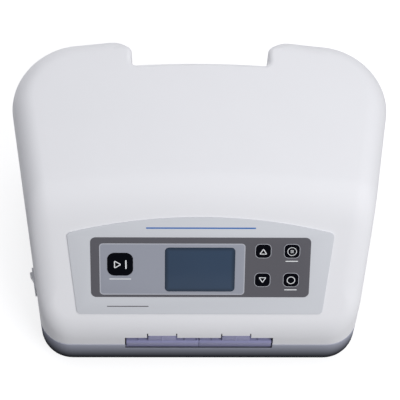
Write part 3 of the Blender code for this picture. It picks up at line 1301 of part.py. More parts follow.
def make_pump_head(black):
    """The head on the crankcase, with an intake and an outlet nipple. Returns the outlet's tip."""
    bottom = SHAFT_HEIGHT + CRANKCASE_HEIGHT / 2 + GAP
    middle = bottom + HEAD_HEIGHT / 2
    size = (CRANKCASE_LENGTH - 2 * HEAD_INSET, CRANKCASE_WIDTH - 2 * HEAD_INSET, HEAD_HEIGHT)
    head = add_box("pump_head", size, (CRANKCASE_X, PUMP_Y, middle), black)
    reach = CRANKCASE_WIDTH / 4
    for sign in (-1, 1):
        fuse(head, add_rod("head_nipple", NIPPLE_RADIUS, NIPPLE_LENGTH + HEAD_HEIGHT / 2,
                           (CRANKCASE_X, PUMP_Y + sign * reach, middle), sides=SMALL_SIDES))
    return Vector((CRANKCASE_X, PUMP_Y - reach, bottom + HEAD_HEIGHT + NIPPLE_LENGTH))


# Air distributor


def gear_outline(teeth, phase):
    """A gear's outline with plain straight-sided teeth and room for running."""
    pitch_radius = GEAR_MODULE * teeth / 2
    tip = pitch_radius + GEAR_MODULE - GEAR_BACKLASH
    root = pitch_radius - GEAR_MODULE - GEAR_BACKLASH
    tooth = 2 * math.pi / teeth
    play = GEAR_BACKLASH / pitch_radius / 2
    flank = (
        (root, -TOOTH_ROOT_SHARE),
        (tip, -TOOTH_TIP_SHARE),
        (tip, TOOTH_TIP_SHARE),
        (root, TOOTH_ROOT_SHARE),
    )
    points = []
    for index in range(teeth):
        for radius, share in flank:
            angle = phase + tooth * (index + share) - math.copysign(play, share)
            points.append((radius * math.cos(angle), radius * math.sin(angle)))
    return points


def make_distributor(base, paints):
    """The rotary valve that shares the air out. Returns its inlet's tip."""
    fuse(base, add_rod("distributor_post", DISTRIBUTOR_POST_RADIUS, DISTRIBUTOR_BOTTOM - GAP - POST_START,
                       (0, DISTRIBUTOR_Y, POST_START), sides=SMALL_SIDES))
    body = add_rod("distributor_body", DISTRIBUTOR_RADIUS, DISTRIBUTOR_HEIGHT,
                   (0, DISTRIBUTOR_Y, DISTRIBUTOR_BOTTOM), surface=paints["natural_nylon"])
    block_middle = OUTLET_END_Y + OUTLET_LENGTH + OUTLET_BLOCK_DEPTH / 2
    block_width = 2 * PLUG_X + PORT_PITCH_X * PORT_COLUMNS
    fuse(body, add_box("outlet_block", (block_width, OUTLET_BLOCK_DEPTH, OUTLET_BLOCK_HEIGHT),
                       (0, block_middle, SOCKET_MIDDLE)))
    for side in (-1, 1):
        for column_x in port_columns():
            fuse(body, add_rod("outlet", OUTLET_RADIUS, block_middle - OUTLET_END_Y,
                               (side * PLUG_X + column_x, OUTLET_END_Y, SOCKET_MIDDLE), "Y", SMALL_SIDES))
    inlet_y = DISTRIBUTOR_Y + DISTRIBUTOR_RADIUS + NIPPLE_LENGTH
    fuse(body, add_rod("inlet_nipple", NIPPLE_RADIUS, DISTRIBUTOR_RADIUS,
                       (0, inlet_y - DISTRIBUTOR_RADIUS, SOCKET_MIDDLE), "Y", SMALL_SIDES))
    cut(body, add_rod("spindle_bore", ROTOR_SPINDLE_RADIUS + SPINDLE_CLEARANCE,
                      ROTOR_SPINDLE_LENGTH + OVERRUN,
                      (0, DISTRIBUTOR_Y, ROTOR_BOTTOM - ROTOR_SPINDLE_LENGTH - GAP)))
    make_valve_gears(paints)
    make_valve_motor(base, paints["dark_grey_plastic"])
    return Vector((0, inlet_y, SOCKET_MIDDLE))


def make_valve_gears(paints):
    """The gear on the valve's rotor and the pinion in mesh with it."""
    joint = add_empty("valve_axis", (0, DISTRIBUTOR_Y, ROTOR_BOTTOM))
    gear = add_prism("distributor_gear", gear_outline(GEAR_TEETH, 0.0), 0.0, GEAR_THICKNESS,
                     paints["brass"], joint)
    fuse(gear, add_rod("gear_spindle", ROTOR_SPINDLE_RADIUS, ROTOR_SPINDLE_LENGTH + GEAR_THICKNESS / 2,
                       (0, 0, -ROTOR_SPINDLE_LENGTH), frame=joint))
    joint = add_empty("pinion_axis", (PINION_X, DISTRIBUTOR_Y, ROTOR_BOTTOM))
    facing = math.pi + math.pi / PINION_TEETH
    pinion = add_prism("drive_pinion", gear_outline(PINION_TEETH, facing), 0.0, GEAR_THICKNESS,
                       paints["zinc_plated_steel"], joint)
    reach = VALVE_MOTOR_BEARING + GAP
    fuse(pinion, add_rod("pinion_shaft", PINION_SHAFT_RADIUS, reach + GEAR_THICKNESS / 2,
                         (0, 0, -reach), sides=SMALL_SIDES, frame=joint))


def make_valve_motor(base, dark):
    """The small motor under the pinion, on its post."""
    top = ROTOR_BOTTOM - GAP
    bottom = top - VALVE_MOTOR_HEIGHT
    motor = add_rod("valve_motor", VALVE_MOTOR_RADIUS, VALVE_MOTOR_HEIGHT,
                    (PINION_X, DISTRIBUTOR_Y, bottom), surface=dark)
    bore_depth = VALVE_MOTOR_BEARING + 2 * GAP
    cut(motor, add_rod("motor_bore", PINION_SHAFT_RADIUS + SPINDLE_CLEARANCE, bore_depth + OVERRUN,
                       (PINION_X, DISTRIBUTOR_Y, top - bore_depth), sides=SMALL_SIDES))
    fuse(base, add_rod("valve_post", VALVE_POST_RADIUS, bottom - GAP - POST_START,
                       (PINION_X, DISTRIBUTOR_Y, POST_START), sides=SMALL_SIDES))


# Hose and tubes


def hose_route(head_tip, inlet_tip):
    """Points of a smooth curve from the distributor's inlet to the pump's outlet, straight at its ends."""
    start = inlet_tip + Vector((0, GAP, 0))
    end = head_tip + Vector((0, 0, GAP))
    first = start + Vector((0, 2 * HOSE_RADIUS, 0))
    last = end + Vector((0, 0, 2 * HOSE_RADIUS))
    guides = (first, first + Vector((0, HOSE_REACH, 0)), last + Vector((0, 0, HOSE_REACH)), last)
    route = [start]
    for index in range(HOSE_POINTS):
        share = index / (HOSE_POINTS - 1)
        rest = 1 - share
        weights = (rest ** 3, 3 * rest ** 2 * share, 3 * rest * share ** 2, share ** 3)
        route.append(sum((guide * weight for guide, weight in zip(guides, weights)), Vector()))
    return route + [end]


def make_supply_hose(head_tip, inlet_tip, paints):
    """The hose that takes the air from the pump's head to the distributor."""
    route = hose_route(head_tip, inlet_tip)
    curve = bpy.data.curves.new("supply_hose", "CURVE")
    curve.dimensions = "3D"
    curve.bevel_depth = HOSE_RADIUS
    curve.bevel_resolution = 2
    curve.use_fill_caps = True
    spline = curve.splines.new("POLY")
    spline.points.add(len(route) - 1)
    for point, place in zip(spline.points, route):
        point.co = (*place, 1)
    curve.materials.append(paints["clear_silicone"])
    hose = bpy.data.objects.new("supply_hose", curve)
    bpy.context.scene.collection.objects.link(hose)


def bundle_outline():
    """The outline of a flat row of tubes that are joined side by side."""
    lobe = PORT_PITCH_X / 2 + TUBE_LOBE_OVERLAP
    valley = math.acos(PORT_PITCH_X / 2 / lobe)
    columns = port_columns()
    upper = []
    for x in reversed(columns):
        first = 0.0 if x == columns[-1] else valley
        last = math.pi if x == columns[0] else math.pi - valley
        for step in range(TUBE_LOBE_STEPS):
            angle = first + (last - first) * (step + 0.5) / TUBE_LOBE_STEPS
            upper.append((x + lobe * math.cos(angle), lobe * math.sin(angle)))
    return upper + [(x, -z) for x, z in reversed(upper)]


def make_tube_bundles(paints):
    """The two rows of tubes between the distributor's outlets and the sockets."""
    low_y = SOCKET_START + SOCKET_DEPTH + GAP
    for label, side in (("left", -1), ("right", 1)):
        tubes = add_prism(f"tube_bundle_{label}", bundle_outline(), low_y, OUTLET_END_Y - GAP,
                          paints["clear_silicone"], None, math.radians(50))
        turn = Matrix(((1, 0, 0, side * PLUG_X), (0, 0, 1, 0), (0, 1, 0, SOCKET_MIDDLE), (0, 0, 0, 1)))
        tubes.data.transform(turn)
        tubes.data.flip_normals()


# Electronics


def make_board(base, name, centre, width, length, green):
    """A circuit board on four posts."""
    x, y = centre
    board = add_box(name, (width, length, BOARD_THICKNESS), (x, y, BOARD_BOTTOM + BOARD_THICKNESS / 2), green)
    for sign_x in (-1, 1):
        for sign_y in (-1, 1):
            post_x = x + sign_x * (width / 2 - STANDOFF_INSET)
            post_y = y + sign_y * (length / 2 - STANDOFF_INSET)
            fuse(base, add_rod("standoff", STANDOFF_RADIUS, STANDOFF_HEIGHT + BASE_WALL / 2,
                               (post_x, post_y, POST_START), sides=SMALL_SIDES))
    return board


def make_electronics(base, paints):
    """The mains supply board and the control board with what stands on them."""
    supply = (SUPPLY_X, FRONT_Y + SUPPLY_DEPTH_SHARE * DEPTH)
    make_board(base, "supply_board", supply, SUPPLY_WIDTH, SUPPLY_LENGTH, paints["green_circuit_board"])
    make_transformer(supply, paints)
    capacitor_x = SUPPLY_X - SUPPLY_WIDTH / 2 + CAPACITOR_RADIUS + STANDOFF_INSET
    add_rod("supply_capacitor", CAPACITOR_RADIUS, CAPACITOR_HEIGHT, (capacitor_x, supply[1], BOARD_TOP + GAP),
            surface=paints["capacitor_sleeve"])
    make_heatsink(supply, paints["aluminium"])
    control = (CONTROL_X, FRONT_Y + CONTROL_DEPTH_SHARE * DEPTH)
    board = make_board(base, "control_board", control, CONTROL_WIDTH, CONTROL_LENGTH,
                       paints["green_circuit_board"])
    chip_z = BOARD_TOP + (CHIP_HEIGHT - BOARD_THICKNESS / 2) / 2
    chip = (CHIP_SIZE, CHIP_SIZE, CHIP_HEIGHT + BOARD_THICKNESS / 2)
    fuse(board, add_box("chip", chip, (*control, chip_z)))
    sensor_x = CONTROL_X + CONTROL_WIDTH / 2 - SENSOR_SIZE / 2 - 2 * STANDOFF_INSET
    sensor_z = BOARD_TOP + GAP + SENSOR_HEIGHT / 2
    sensor = add_box("pressure_sensor", (SENSOR_SIZE, SENSOR_SIZE, SENSOR_HEIGHT),
                     (sensor_x, control[1], sensor_z), paints["black_plastic"])
    fuse(sensor, add_rod("sensor_nipple", SENSOR_SIZE / 6, SENSOR_HEIGHT * 2,
                         (sensor_x, control[1], sensor_z), sides=SMALL_SIDES))


def make_transformer(supply, paints):
    """The transformer in the rear corner of the supply board."""
    x = supply[0] + SUPPLY_WIDTH / 2 - TRANSFORMER_SIZE / 2 - STANDOFF_INSET
    y = supply[1] + SUPPLY_LENGTH / 2 - TRANSFORMER_SIZE / 2 - STANDOFF_INSET
    z = BOARD_TOP + GAP + TRANSFORMER_HEIGHT / 2
    core = add_box("transformer", (TRANSFORMER_SIZE, TRANSFORMER_COIL, TRANSFORMER_HEIGHT), (x, y, z),
                   paints["zinc_plated_steel"])
    winding = (
        TRANSFORMER_COIL,
        TRANSFORMER_COIL + 2 * TRANSFORMER_COIL_BULGE,
        TRANSFORMER_HEIGHT * 2 / 3,
    )
    fuse(core, add_box("winding", winding, (x, y, z)))


def make_heatsink(supply, aluminium):
    """The finned heatsink in the front corner of the supply board."""
    x = supply[0] + SUPPLY_WIDTH / 2 - HEATSINK_WIDTH / 2 - STANDOFF_INSET
    y = supply[1] - SUPPLY_LENGTH / 2 + HEATSINK_LENGTH / 2 + STANDOFF_INSET
    z = BOARD_TOP + GAP + HEATSINK_HEIGHT / 2
    sink = add_box("heatsink", (HEATSINK_WIDTH, HEATSINK_LENGTH, HEATSINK_HEIGHT), (x, y, z), aluminium)
    pitch = HEATSINK_LENGTH / HEATSINK_FINS
    for index in range(HEATSINK_FINS):
        gap_y = y + (index - (HEATSINK_FINS - 1) / 2) * pitch
        cut(sink, add_box("fin_gap", (HEATSINK_WIDTH, pitch - HEATSINK_FIN, HEATSINK_HEIGHT),
                          (x + HEATSINK_FIN, gap_y, z)))


def main():
    """Build every piece."""
    remove_all()
    paints = make_paints()
    cover = make_top_cover(paints)
    base = make_base_tray(paints)
    make_fastening(cover, base, paints)
    make_carry_pocket(cover)
    make_panel(cover, paints)
    make_sockets(cover, base, paints)
    make_rocker(cover, paints)
    make_inlet(cover, paints)
    make_fan(cover, paints)
    head_tip = make_compressor(base, paints)
    inlet_tip = make_distributor(base, paints)
    make_supply_hose(head_tip, inlet_tip, paints)
    make_tube_bundles(paints)
    make_electronics(base, paints)
    bpy.context.view_layer.update()


if __name__ == "__main__":
    main()
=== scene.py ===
"""Compression therapy pump: the dressed model, laid out as a Blender add-on and run as a script.

Metres, +Z up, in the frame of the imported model. The front, with the panel, faces -Y.
"""

import math

import bmesh
import bpy
from bpy.props import FloatProperty, FloatVectorProperty, IntProperty, PointerProperty
from mathutils import Matrix, Vector
from mathutils.geometry import delaunay_2d_cdt


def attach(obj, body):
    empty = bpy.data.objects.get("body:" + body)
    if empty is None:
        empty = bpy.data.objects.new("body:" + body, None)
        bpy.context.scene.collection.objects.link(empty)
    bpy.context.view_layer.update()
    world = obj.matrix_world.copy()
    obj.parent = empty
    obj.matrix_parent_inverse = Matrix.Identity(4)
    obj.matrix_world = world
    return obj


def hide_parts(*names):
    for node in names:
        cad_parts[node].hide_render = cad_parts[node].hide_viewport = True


bl_info = {
    "name": "Compression Therapy Pump",
    "version": (1, 0, 0),
    "blender": (4, 5, 0),
    "location": "View3D > Sidebar > Pump",
    "description": "Builds the visible pieces of a compression therapy pump over its packed solids",
    "category": "Object",
}

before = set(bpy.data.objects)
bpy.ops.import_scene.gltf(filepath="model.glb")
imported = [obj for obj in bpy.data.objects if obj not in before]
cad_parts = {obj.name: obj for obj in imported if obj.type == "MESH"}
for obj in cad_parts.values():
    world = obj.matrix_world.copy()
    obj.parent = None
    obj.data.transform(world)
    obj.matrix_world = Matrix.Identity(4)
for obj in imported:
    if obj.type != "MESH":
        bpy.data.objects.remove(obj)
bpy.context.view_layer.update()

# Clearances of the solids, and how far a print or an added rib is sunk into what carries it
GAP = 0.0003
CLEAR = 0.001
PRINT_SINK = 0.0001
RIB_SINK = 0.0002

# Body plan, seen from above
FRONT_Y = -0.1124
REAR_Y = 0.1106
FRONT_HALF_WIDTH = 0.130
REAR_HALF_WIDTH = 0.166
FRONT_CORNER_RADIUS = 0.027
REAR_CORNER_RADIUS = 0.056
EAR_CORNER_RADIUS = 0.017
EAR_SETBACK = 0.003
NOTCH_HALF_WIDTH = 0.0555
NOTCH_DEPTH = 0.029
NOTCH_BULGE = 0.0012
NOTCH_CORNER_RADIUS = 0.003
WALL_TAPER = math.atan2(REAR_HALF_WIDTH - FRONT_HALF_WIDTH, REAR_Y - FRONT_Y - EAR_SETBACK)

# Body profile, seen from the side
BASE_BOTTOM = 0.0025
SEAM_HEIGHT = 0.0461
DECK_HEIGHT = 0.1828
DECK_CROWN = 0.010
DECK_TILT = math.radians(0.7)
PANEL_SLOPE = math.radians(55.5)
PANEL_FOOT_INSET = 0.010
PANEL_FOOT_HEIGHT = 0.0858
RIDGE_BLEND = 0.022
DECK_SPACING_SHARE = 1.5
WALL_DRAFT = math.radians(0.5)
SIDE_SETBACK = 0.019
LIP_SETBACK = 0.0156
NOTCH_SETBACK = 0.005
SETBACK_RUN = 0.030
CORNER_SETBACK_SHARE = 0.95
BASE_SETBACK = 0.022
BASE_NOTCH_SETBACK = 0.007
COVER_WALL = 0.0025
BASE_WALL = 0.004
TONGUE_RISE = 0.004

# Painted shade on the base, which darkens its tone towards the foot: the heights between which it fades
# out, the place where it is darkest, and the share of the tone that it leaves at the foot, in front and at
# the back
PAINTED_SHADE_LOW = 0.0235
PAINTED_SHADE_HIGH = 0.046
PAINTED_SHADE_FRONT_Y = 0.9 * FRONT_Y
PAINTED_SHADE_SHARE_FRONT = 0.09
PAINTED_SHADE_SHARE_REAR = 0.42

# Carrying pocket
POCKET_HALF_WIDTH = 0.046
POCKET_HEIGHT = 0.036
POCKET_DEPTH = 0.030
POCKET_DROP = 0.028
POCKET_RADIUS = 0.006

# Screws and feet, one at each corner. A pair is its distance from the middle and its depth, and a
# profile is given in shares of the radius and in heights above the piece's bottom
SCREW_PAIRS = {"front": (0.108454, -0.0784), "rear": (0.134363, 0.0706)}
FOOT_PAIRS = {"front": (0.08547, -0.0644), "rear": (0.095108, 0.0306)}
SCREW_HEAD_RADIUS = 0.0036
SCREW_HEAD_BOTTOM = 0.0045
SCREW_HEAD_HEIGHT = 0.0024
SCREW_HEAD_PROFILE = ((0.6, 0.0), (0.88, 0.0003), (1.0, 0.0009), (1.0, SCREW_HEAD_HEIGHT))
SCREW_RECESS = (0.0036, 0.0009, 0.0024)
SCREW_SHANK_RADIUS = 0.0018
SCREW_TOP = 0.0565
SCREW_POINT_LENGTH = 0.002
SCREW_POINT_SHARE = 0.3
SCREW_SIDES = 32
WELL_CHAMFER = 0.0006
WELL_TOP = 0.009
FOOT_RADIUS = 0.008
FOOT_HEIGHT = 0.004
FOOT_DISH_PROFILE = ((0.55, 0.0005), (0.68, 0.0))
FOOT_EDGE_STEPS = 6

# Panel, in the plane of the slope. A field is its size, its corner radius and its centre
LABEL_FOOT_HALF_WIDTH = 0.1005
LABEL_TOP_HALF_WIDTH = 0.1075
LABEL_SIDE_HEIGHT = 0.0745
LABEL_HEIGHT = 0.0890
LABEL_CORNER_RADIUS = 0.004
LABEL_ARCH_STEPS = 40
LABEL_TOP = 0.0009
FILM_TOP = 0.0012
KEY_TOP = 0.0018
KEY_BOTTOM = -0.0011
FASCIA_SIZE = (0.1776, 0.0548)
FASCIA_CENTRE = (0.0, 0.0437)
FASCIA_FIELD = (FASCIA_SIZE, 0.0045, FASCIA_CENTRE)
CARRIER_MARGIN = 0.004
CARRIER_DEPTH = 0.0043
INLAY_FIELD = ((0.1176, 0.0470), 0.003, (-0.0228, 0.0422))
WINDOW_SIZE = (0.0568, 0.0405)
WINDOW_CENTRE = (-0.0004, 0.04185)
WINDOW_FIELD = (WINDOW_SIZE, 0.0035, WINDOW_CENTRE)
# Where the painted shade inside the window's edges begins and ends, measured in from each edge
WINDOW_PAINTED_SHADE_START = 0.0035
WINDOW_PAINTED_SHADE_END = 0.0008
LARGE_KEY = (0.0208, 0.006)
SMALL_KEY = (0.0120, 0.0036)
KEY_FLANGE = 0.0012
KEY_EDGE_STEPS = 5
KEY_PLAY = 0.0001
KEYS = {
    "start_stop": (-0.0649, 0.0468, LARGE_KEY),
    "up": (0.0505, 0.0590, SMALL_KEY),
    "down": (0.0505, 0.0326, SMALL_KEY),
    "mode": (0.0737, 0.0590, SMALL_KEY),
    "select": (0.0737, 0.0326, SMALL_KEY),
}

# Printed signs and rules. A triangle is its length, its width and its corner radius, and a rule on
# the label is its length and its centre. The shares are of the marks' line width
PLAY_TRIANGLE = (0.0062, 0.0080, 0.0009)
PLAY_PLACE = (-0.0018, 0.0)
PLAY_BAR_HEIGHT = 0.0080
PLAY_BAR_PLACE = (0.0047, 0.0)
PLAY_BAR_WIDTH_SHARE = 1.3
PLAY_BAR_END_SHARE = 0.6
ARROW_TRIANGLE = (0.0054, 0.0066, 0.0006)
ARROW_LINE_SHARE = 0.85
SELECT_RING_RADIUS = 0.0034
SELECT_LINE_SHARE = 0.75
MODE_RING_RADIUS = 0.0038
MODE_LINE_SHARE = 0.6
MODE_BAR_LENGTH = 0.0026
MODE_BAR_PITCH = 0.0010
MODE_BAR_WIDTH_SHARE = 0.5
MODE_BAR_END_SHARE = 0.2
UPPER_RULE = (0.088, (0.0, 0.0795))
UPPER_RULE_WIDTH_SHARE = 1.5
LOWER_RULE = (0.034, (-0.059, 0.0075))
KEY_RULE_SHARE = 0.85
KEY_RULE_DROP = 0.0032
RULE_END_SHARE = 0.45

# Hose sockets, plugs and latches
STRIP_HALF_WIDTH = 0.0619
STRIP_BOTTOM = 0.0393
STRIP_TOP = 0.0595
STRIP_CUT_DEPTH = 4 * COVER_WALL + LIP_SETBACK
GUTTER_RIM = 0.0004
PLUG_X = 0.030775
PLUG_WIDTH = 0.0606
PLUG_OUTER_REACH = 0.0300
PLUG_JOIN = 0.0003
PLUG_BOTTOM = 0.0399
PLUG_TOP = 0.0520
PLUG_MIDDLE = (PLUG_BOTTOM + PLUG_TOP) / 2
PLUG_FACE_DEPTH = 0.006
PLUG_BODY_DEPTH = 0.016
PLUG_BODY_INSET = 0.003
PLUG_BODY_SIZE = (PLUG_WIDTH - 2 * PLUG_BODY_INSET, PLUG_TOP - PLUG_BOTTOM - 2 * PLUG_BODY_INSET)
PLUG_BODY_CORNER_RADIUS = 0.001
PLUG_BODY_EDGE = 0.0008
PLUG_RIB_SPACING = 0.0193
PLUG_RIB_LENGTH = 0.004
PLUG_RIB_SETBACK = 0.0001
PLUG_BROW_SHARE = 0.60
PLUG_FOOT_LEAN = 1.1
LATCH_WIDTH = 0.0232
LATCH_SLIT = 0.0010
LATCH_BOTTOM = 0.0523
LATCH_TOP = 0.0618
LATCH_THICKNESS = 0.0022
LATCH_INSET = 0.0010
LATCH_ROUND = 0.0032
LATCH_EDGE = 0.0003
LATCH_RIB_STOP = 0.0006
LATCH_RIB_SIDES = 40
LATCH_RIB_SINK_SHARE = 0.7
SOCKET_START = -0.106
SOCKET_DEPTH = 0.034
SOCKET_WALL = 0.0022
SOCKET_CLEARANCE = 0.0004
SOCKET_EDGE = 0.0007
SOCKET_MOUTH_RADIUS = 0.0012
PORT_RADIUS = 0.0014
PORT_SIDES = 24
PORT_COLUMNS = 6
PORT_PITCH_X = 0.0085
PORT_PITCH_Z = 0.0036

# Mains rocker on the left wall
ROCKER_Y = -0.0694
ROCKER_HEIGHT = 0.0775
ROCKER_BEZEL = (0.021, 0.015)
ROCKER_BEZEL_RADIUS = 0.0018
ROCKER_BEZEL_PROUD = 0.0011
ROCKER_BEZEL_ROOT = 0.0008
ROCKER_RIM = 0.0018
ROCKER_BODY_DEPTH = 0.016
ROCKER_CAVITY_DEPTH = 0.008
ROCKER_CAVITY_RADIUS = 0.0008
ROCKER_PIVOT_DEPTH = 0.0015
ROCKER_TILT = math.radians(11)
ROCKER_HALF_LENGTH = 0.0076
ROCKER_TIP_Y = -0.0037
ROCKER_DIP_Y = -0.0024
ROCKER_DISH_POWER = 1.4
ROCKER_DISH_STEPS = 12
ROCKER_BACK = ((0.0076, 0.0), (0.0045, 0.0032), (-0.0045, 0.0032), (-0.0076, 0.0))
ROCKER_HALF_HEIGHT = 0.0053
ROCKER_EDGE = 0.0003
ROCKER_MARK_SHARE = 0.56
ROCKER_MARK_LEAN = 1.25
ROCKER_MARK_SINK = 0.0002
ROCKER_MARK_PROUD = 0.00008
ROCKER_MARK_WIDTH_SHARE = 0.8
ON_MARK_LENGTH = 0.0042
ON_MARK_END_SHARE = 0.3
OFF_MARK_RADIUS = 0.0020

# Mains inlet and vents in the rear walls of the ears
INLET_X = -0.08645
INLET_HEIGHT = 0.080
INLET_BODY = (0.0270, 0.0195)
INLET_BODY_DEPTH = 0.022
INLET_FLANGE = 0.0020
INLET_FLANGE_THICKNESS = 0.0018
INLET_FLANGE_RADIUS = 0.0022
INLET_FLANGE_ROOT = 0.0005
INLET_CAVITY = (0.0225, 0.0140)
INLET_CAVITY_DEPTH = 0.016
INLET_CAVITY_CHAMFER = 0.004
INLET_CAVITY_RADIUS = 0.001
INLET_CAVITY_ARC_STEP = 0.0003
PIN_SIZE = (0.002, 0.011, 0.004)
PIN_ROOT = 0.001
PIN_EDGE = 0.0004
PIN_SPACING = 0.007
PIN_RAISE = 0.002
VENT_X = 0.08745
VENT_HEIGHT = 0.090
VENT_SLOTS = 6
VENT_SLOT = (0.030, 0.0028)
VENT_END_SHARE = 0.49
VENT_PITCH = 0.0058

# The view of the photograph, with the sensor and the lens in millimetres
CAMERA_TARGET = (0.00074, -0.0045, 0.1025)
CAMERA_BACK = (-0.02365, -0.49069, 0.87101)
CAMERA_DISTANCE = 1.33488
CAMERA_ROLL = math.radians(2.58)
CAMERA_SENSOR = 36.0
CAMERA_LENS = 142.55
CAMERA_CLIP_START = 0.01

# Studio. A lamp is its place, the side of its square and its power in watts
LAMP_AIM = (0.0, 0.0, 0.1)
LAMPS = {
    "front_right_lamp": ((1.0, -1.15, 1.2), 1.2, 21.0),
    "overhead_lamp": ((0.1, 0.2, 1.9), 1.4, 5.0),
    "rear_lamp": ((-0.3, 1.6, 0.5), 1.2, 9.0),
}
FLOOR_HALF_WIDTH = 6.0
FLOOR_GLOW_NEAR = (0.35, 0.75)
FLOOR_GLOW_FAR = (1.6, 1.0)
WHITE = (1.0, 1.0, 1.0, 1.0)
BLACK = (0.0, 0.0, 0.0, 1.0)


def linear(code):
    """An sRGB hex colour as linear red, green, blue and alpha."""
    shares = [int(code[index:index + 2], 16) / 255 for index in (0, 2, 4)]
    return (*(s / 12.92 if s <= 0.04045 else ((s + 0.055) / 1.055) ** 2.4 for s in shares), 1.0)


def length_property(name, default, description, most):
    """A length in metres that the sidebar shows in scene units."""
    return FloatProperty(name=name, default=default, description=description, min=0.0, max=most,
                         precision=5, unit="LENGTH", subtype="DISTANCE")


def colour_property(name, code, description):
    """A colour whose default is an sRGB hex value."""
    return FloatVectorProperty(name=name, default=linear(code), description=description,
                               size=4, min=0.0, max=1.0, subtype="COLOR")


class PumpSizes(bpy.types.PropertyGroup):
    """Sizes of the details that the solids leave plain."""

    plan_step: length_property("Plan step", 0.004, "Spacing of points round the body", 0.02)
    ridge_step: length_property("Ridge step", 0.0025, "Spacing of points beside the ridge", 0.01)
    edge_steps: IntProperty(name="Edge steps", default=14, min=4, max=32,
                            description="Rings in the rounding of the body's edges")
    seam_chamfer: length_property("Seam chamfer", 0.0006, "Chamfer of each half at the seam", 0.002)
    film_edge: length_property("Film edge", 0.0002, "Rounding of the printed films' edges", 0.0005)
    key_edge: length_property("Key edge", 0.0005, "Rounding of the keys' upper edges", 0.001)
    rim_width: length_property("Key rim", 0.0004, "Width of the printed line round a key", 0.001)
    mark_width: length_property("Mark width", 0.0008, "Width of the lines of the key marks", 0.002)
    rule_width: length_property("Rule width", 0.0008, "Width of the printed rules", 0.002)
    mark_height: length_property("Mark height", 0.00008, "Thickness of the printed marks", 0.0005)
    plug_edge: length_property("Plug edge", 0.0006, "Rounding of the plugs' edges", 0.0015)
    slit_rise: length_property("Slit rise", 0.0030, "Height of the slits above the tabs", 0.005)
    gutter: length_property("Gutter", 0.0020, "Width of the groove under the plugs", 0.003)
    plug_lean: length_property("Plug lean", 0.0011, "How far the plugs' faces lean back", 0.004)
    plug_step: length_property("Plug step", 0.0004, "Depth of the step in the plugs' faces", 0.001)
    rib_width: length_property("Rib width", 0.0012, "Width of the ribs on plugs and tabs", 0.002)
    rib_height: length_property("Rib height", 0.0014, "Height of the ribs on the plugs", 0.003)
    switch_edge: length_property("Switch edge", 0.0004, "Rounding of the switch's edges", 0.001)
    foot_edge: length_property("Foot edge", 0.0008, "Rounding of the feet", 0.002)


class PumpColours(bpy.types.PropertyGroup):
    """Colours of the finishes that a user would change."""

    cover: colour_property("Cover", "E9E9EC", "White of the moulded cover")
    base: colour_property("Base", "B6B9C7", "Grey of the moulded base")
    label: colour_property("Label", "CED0D5", "Light grey of the label")
    fascia: colour_property("Fascia", "545359", "Dark grey round the keys")
    inlay: colour_property("Inlay", "979AA5", "Mid grey round the display")
    window: colour_property("Window", "2C4058", "Slate blue of the idle display")
    keys: colour_property("Keys", "08090F", "Black of the rubber keys")
    marks: colour_property("Marks", "E6E8EA", "White of the printed marks")
    lines: colour_property("Lines", "B4B6BE", "Light grey of the lines round films and keys")
    accent: colour_property("Accent", "2A66AE", "Blue of the rule on the label")
    plugs: colour_property("Plugs", "9090B5", "Lilac of the plugs and latches")
    switch: colour_property("Switch", "B9BABF", "Grey of the mains switch")
    dark: colour_property("Dark parts", "2E2F33",
                          "Dark grey of the fan, the display module and the valve motor")


# Finishes


def add(tree, kind, inputs=(), **settings):
    """Add a node. Settings are its properties, and inputs are values or sockets to link."""
    made = tree.nodes.new(kind)
    for name, value in settings.items():
        setattr(made, name, value)
    for name, value in dict(inputs).items():
        if isinstance(value, bpy.types.NodeSocket):
            tree.links.new(value, made.inputs[name])
        else:
            made.inputs[name].default_value = value
    return made


def shaded(colour, share):
    """A colour made darker or lighter by a share."""
    return (*(min(channel * share, 1.0) for channel in colour[:3]), 1.0)


def start(name, colour, roughness, **constants):
    """A new material with its shader, and the place of each point on the object in metres."""
    material = bpy.data.materials.new(name)
    material.use_nodes = True
    material.diffuse_color = colour
    tree = material.node_tree
    shader = tree.nodes["Principled BSDF"]
    shader.inputs["Base Color"].default_value = colour
    shader.inputs["Roughness"].default_value = roughness
    for socket, value in constants.items():
        shader.inputs[socket.replace("_", " ")].default_value = value
    return material, tree, shader, add(tree, "ShaderNodeTexCoord").outputs["Object"]


# Sizes of the patterns. The wave texture repeats every WAVE_UNIT at a scale of 1
MELT_CLOUD = 0.05
INK_CLOUD = 0.09
CELL_CLOUD = 0.03
VELVET_STROKE = 0.0007
TRACK_HALF_WIDTH = 0.0003
TRACK_FIELD = (0.0062, 0.0021)
CORE_PLATE = 0.002
WAVE_UNIT = math.tau / 20


def textured(tree, shader, tone, grain, depth, strength, gloss=()):
    """Link the tone, raise the surface by a depth where the grain is light, and let the grain move the
    roughness between the two gloss limits."""
    tree.links.new(tone, shader.inputs["Base Color"])
    bump = add(tree, "ShaderNodeBump", {"Height": grain, "Distance": depth, "Strength": strength})
    tree.links.new(bump.outputs["Normal"], shader.inputs["Normal"])
    if gloss:
        spread = add(tree, "ShaderNodeMapRange", {"Value": grain, "To Min": gloss[0], "To Max": gloss[1]})
        tree.links.new(spread.outputs["Result"], shader.inputs["Roughness"])


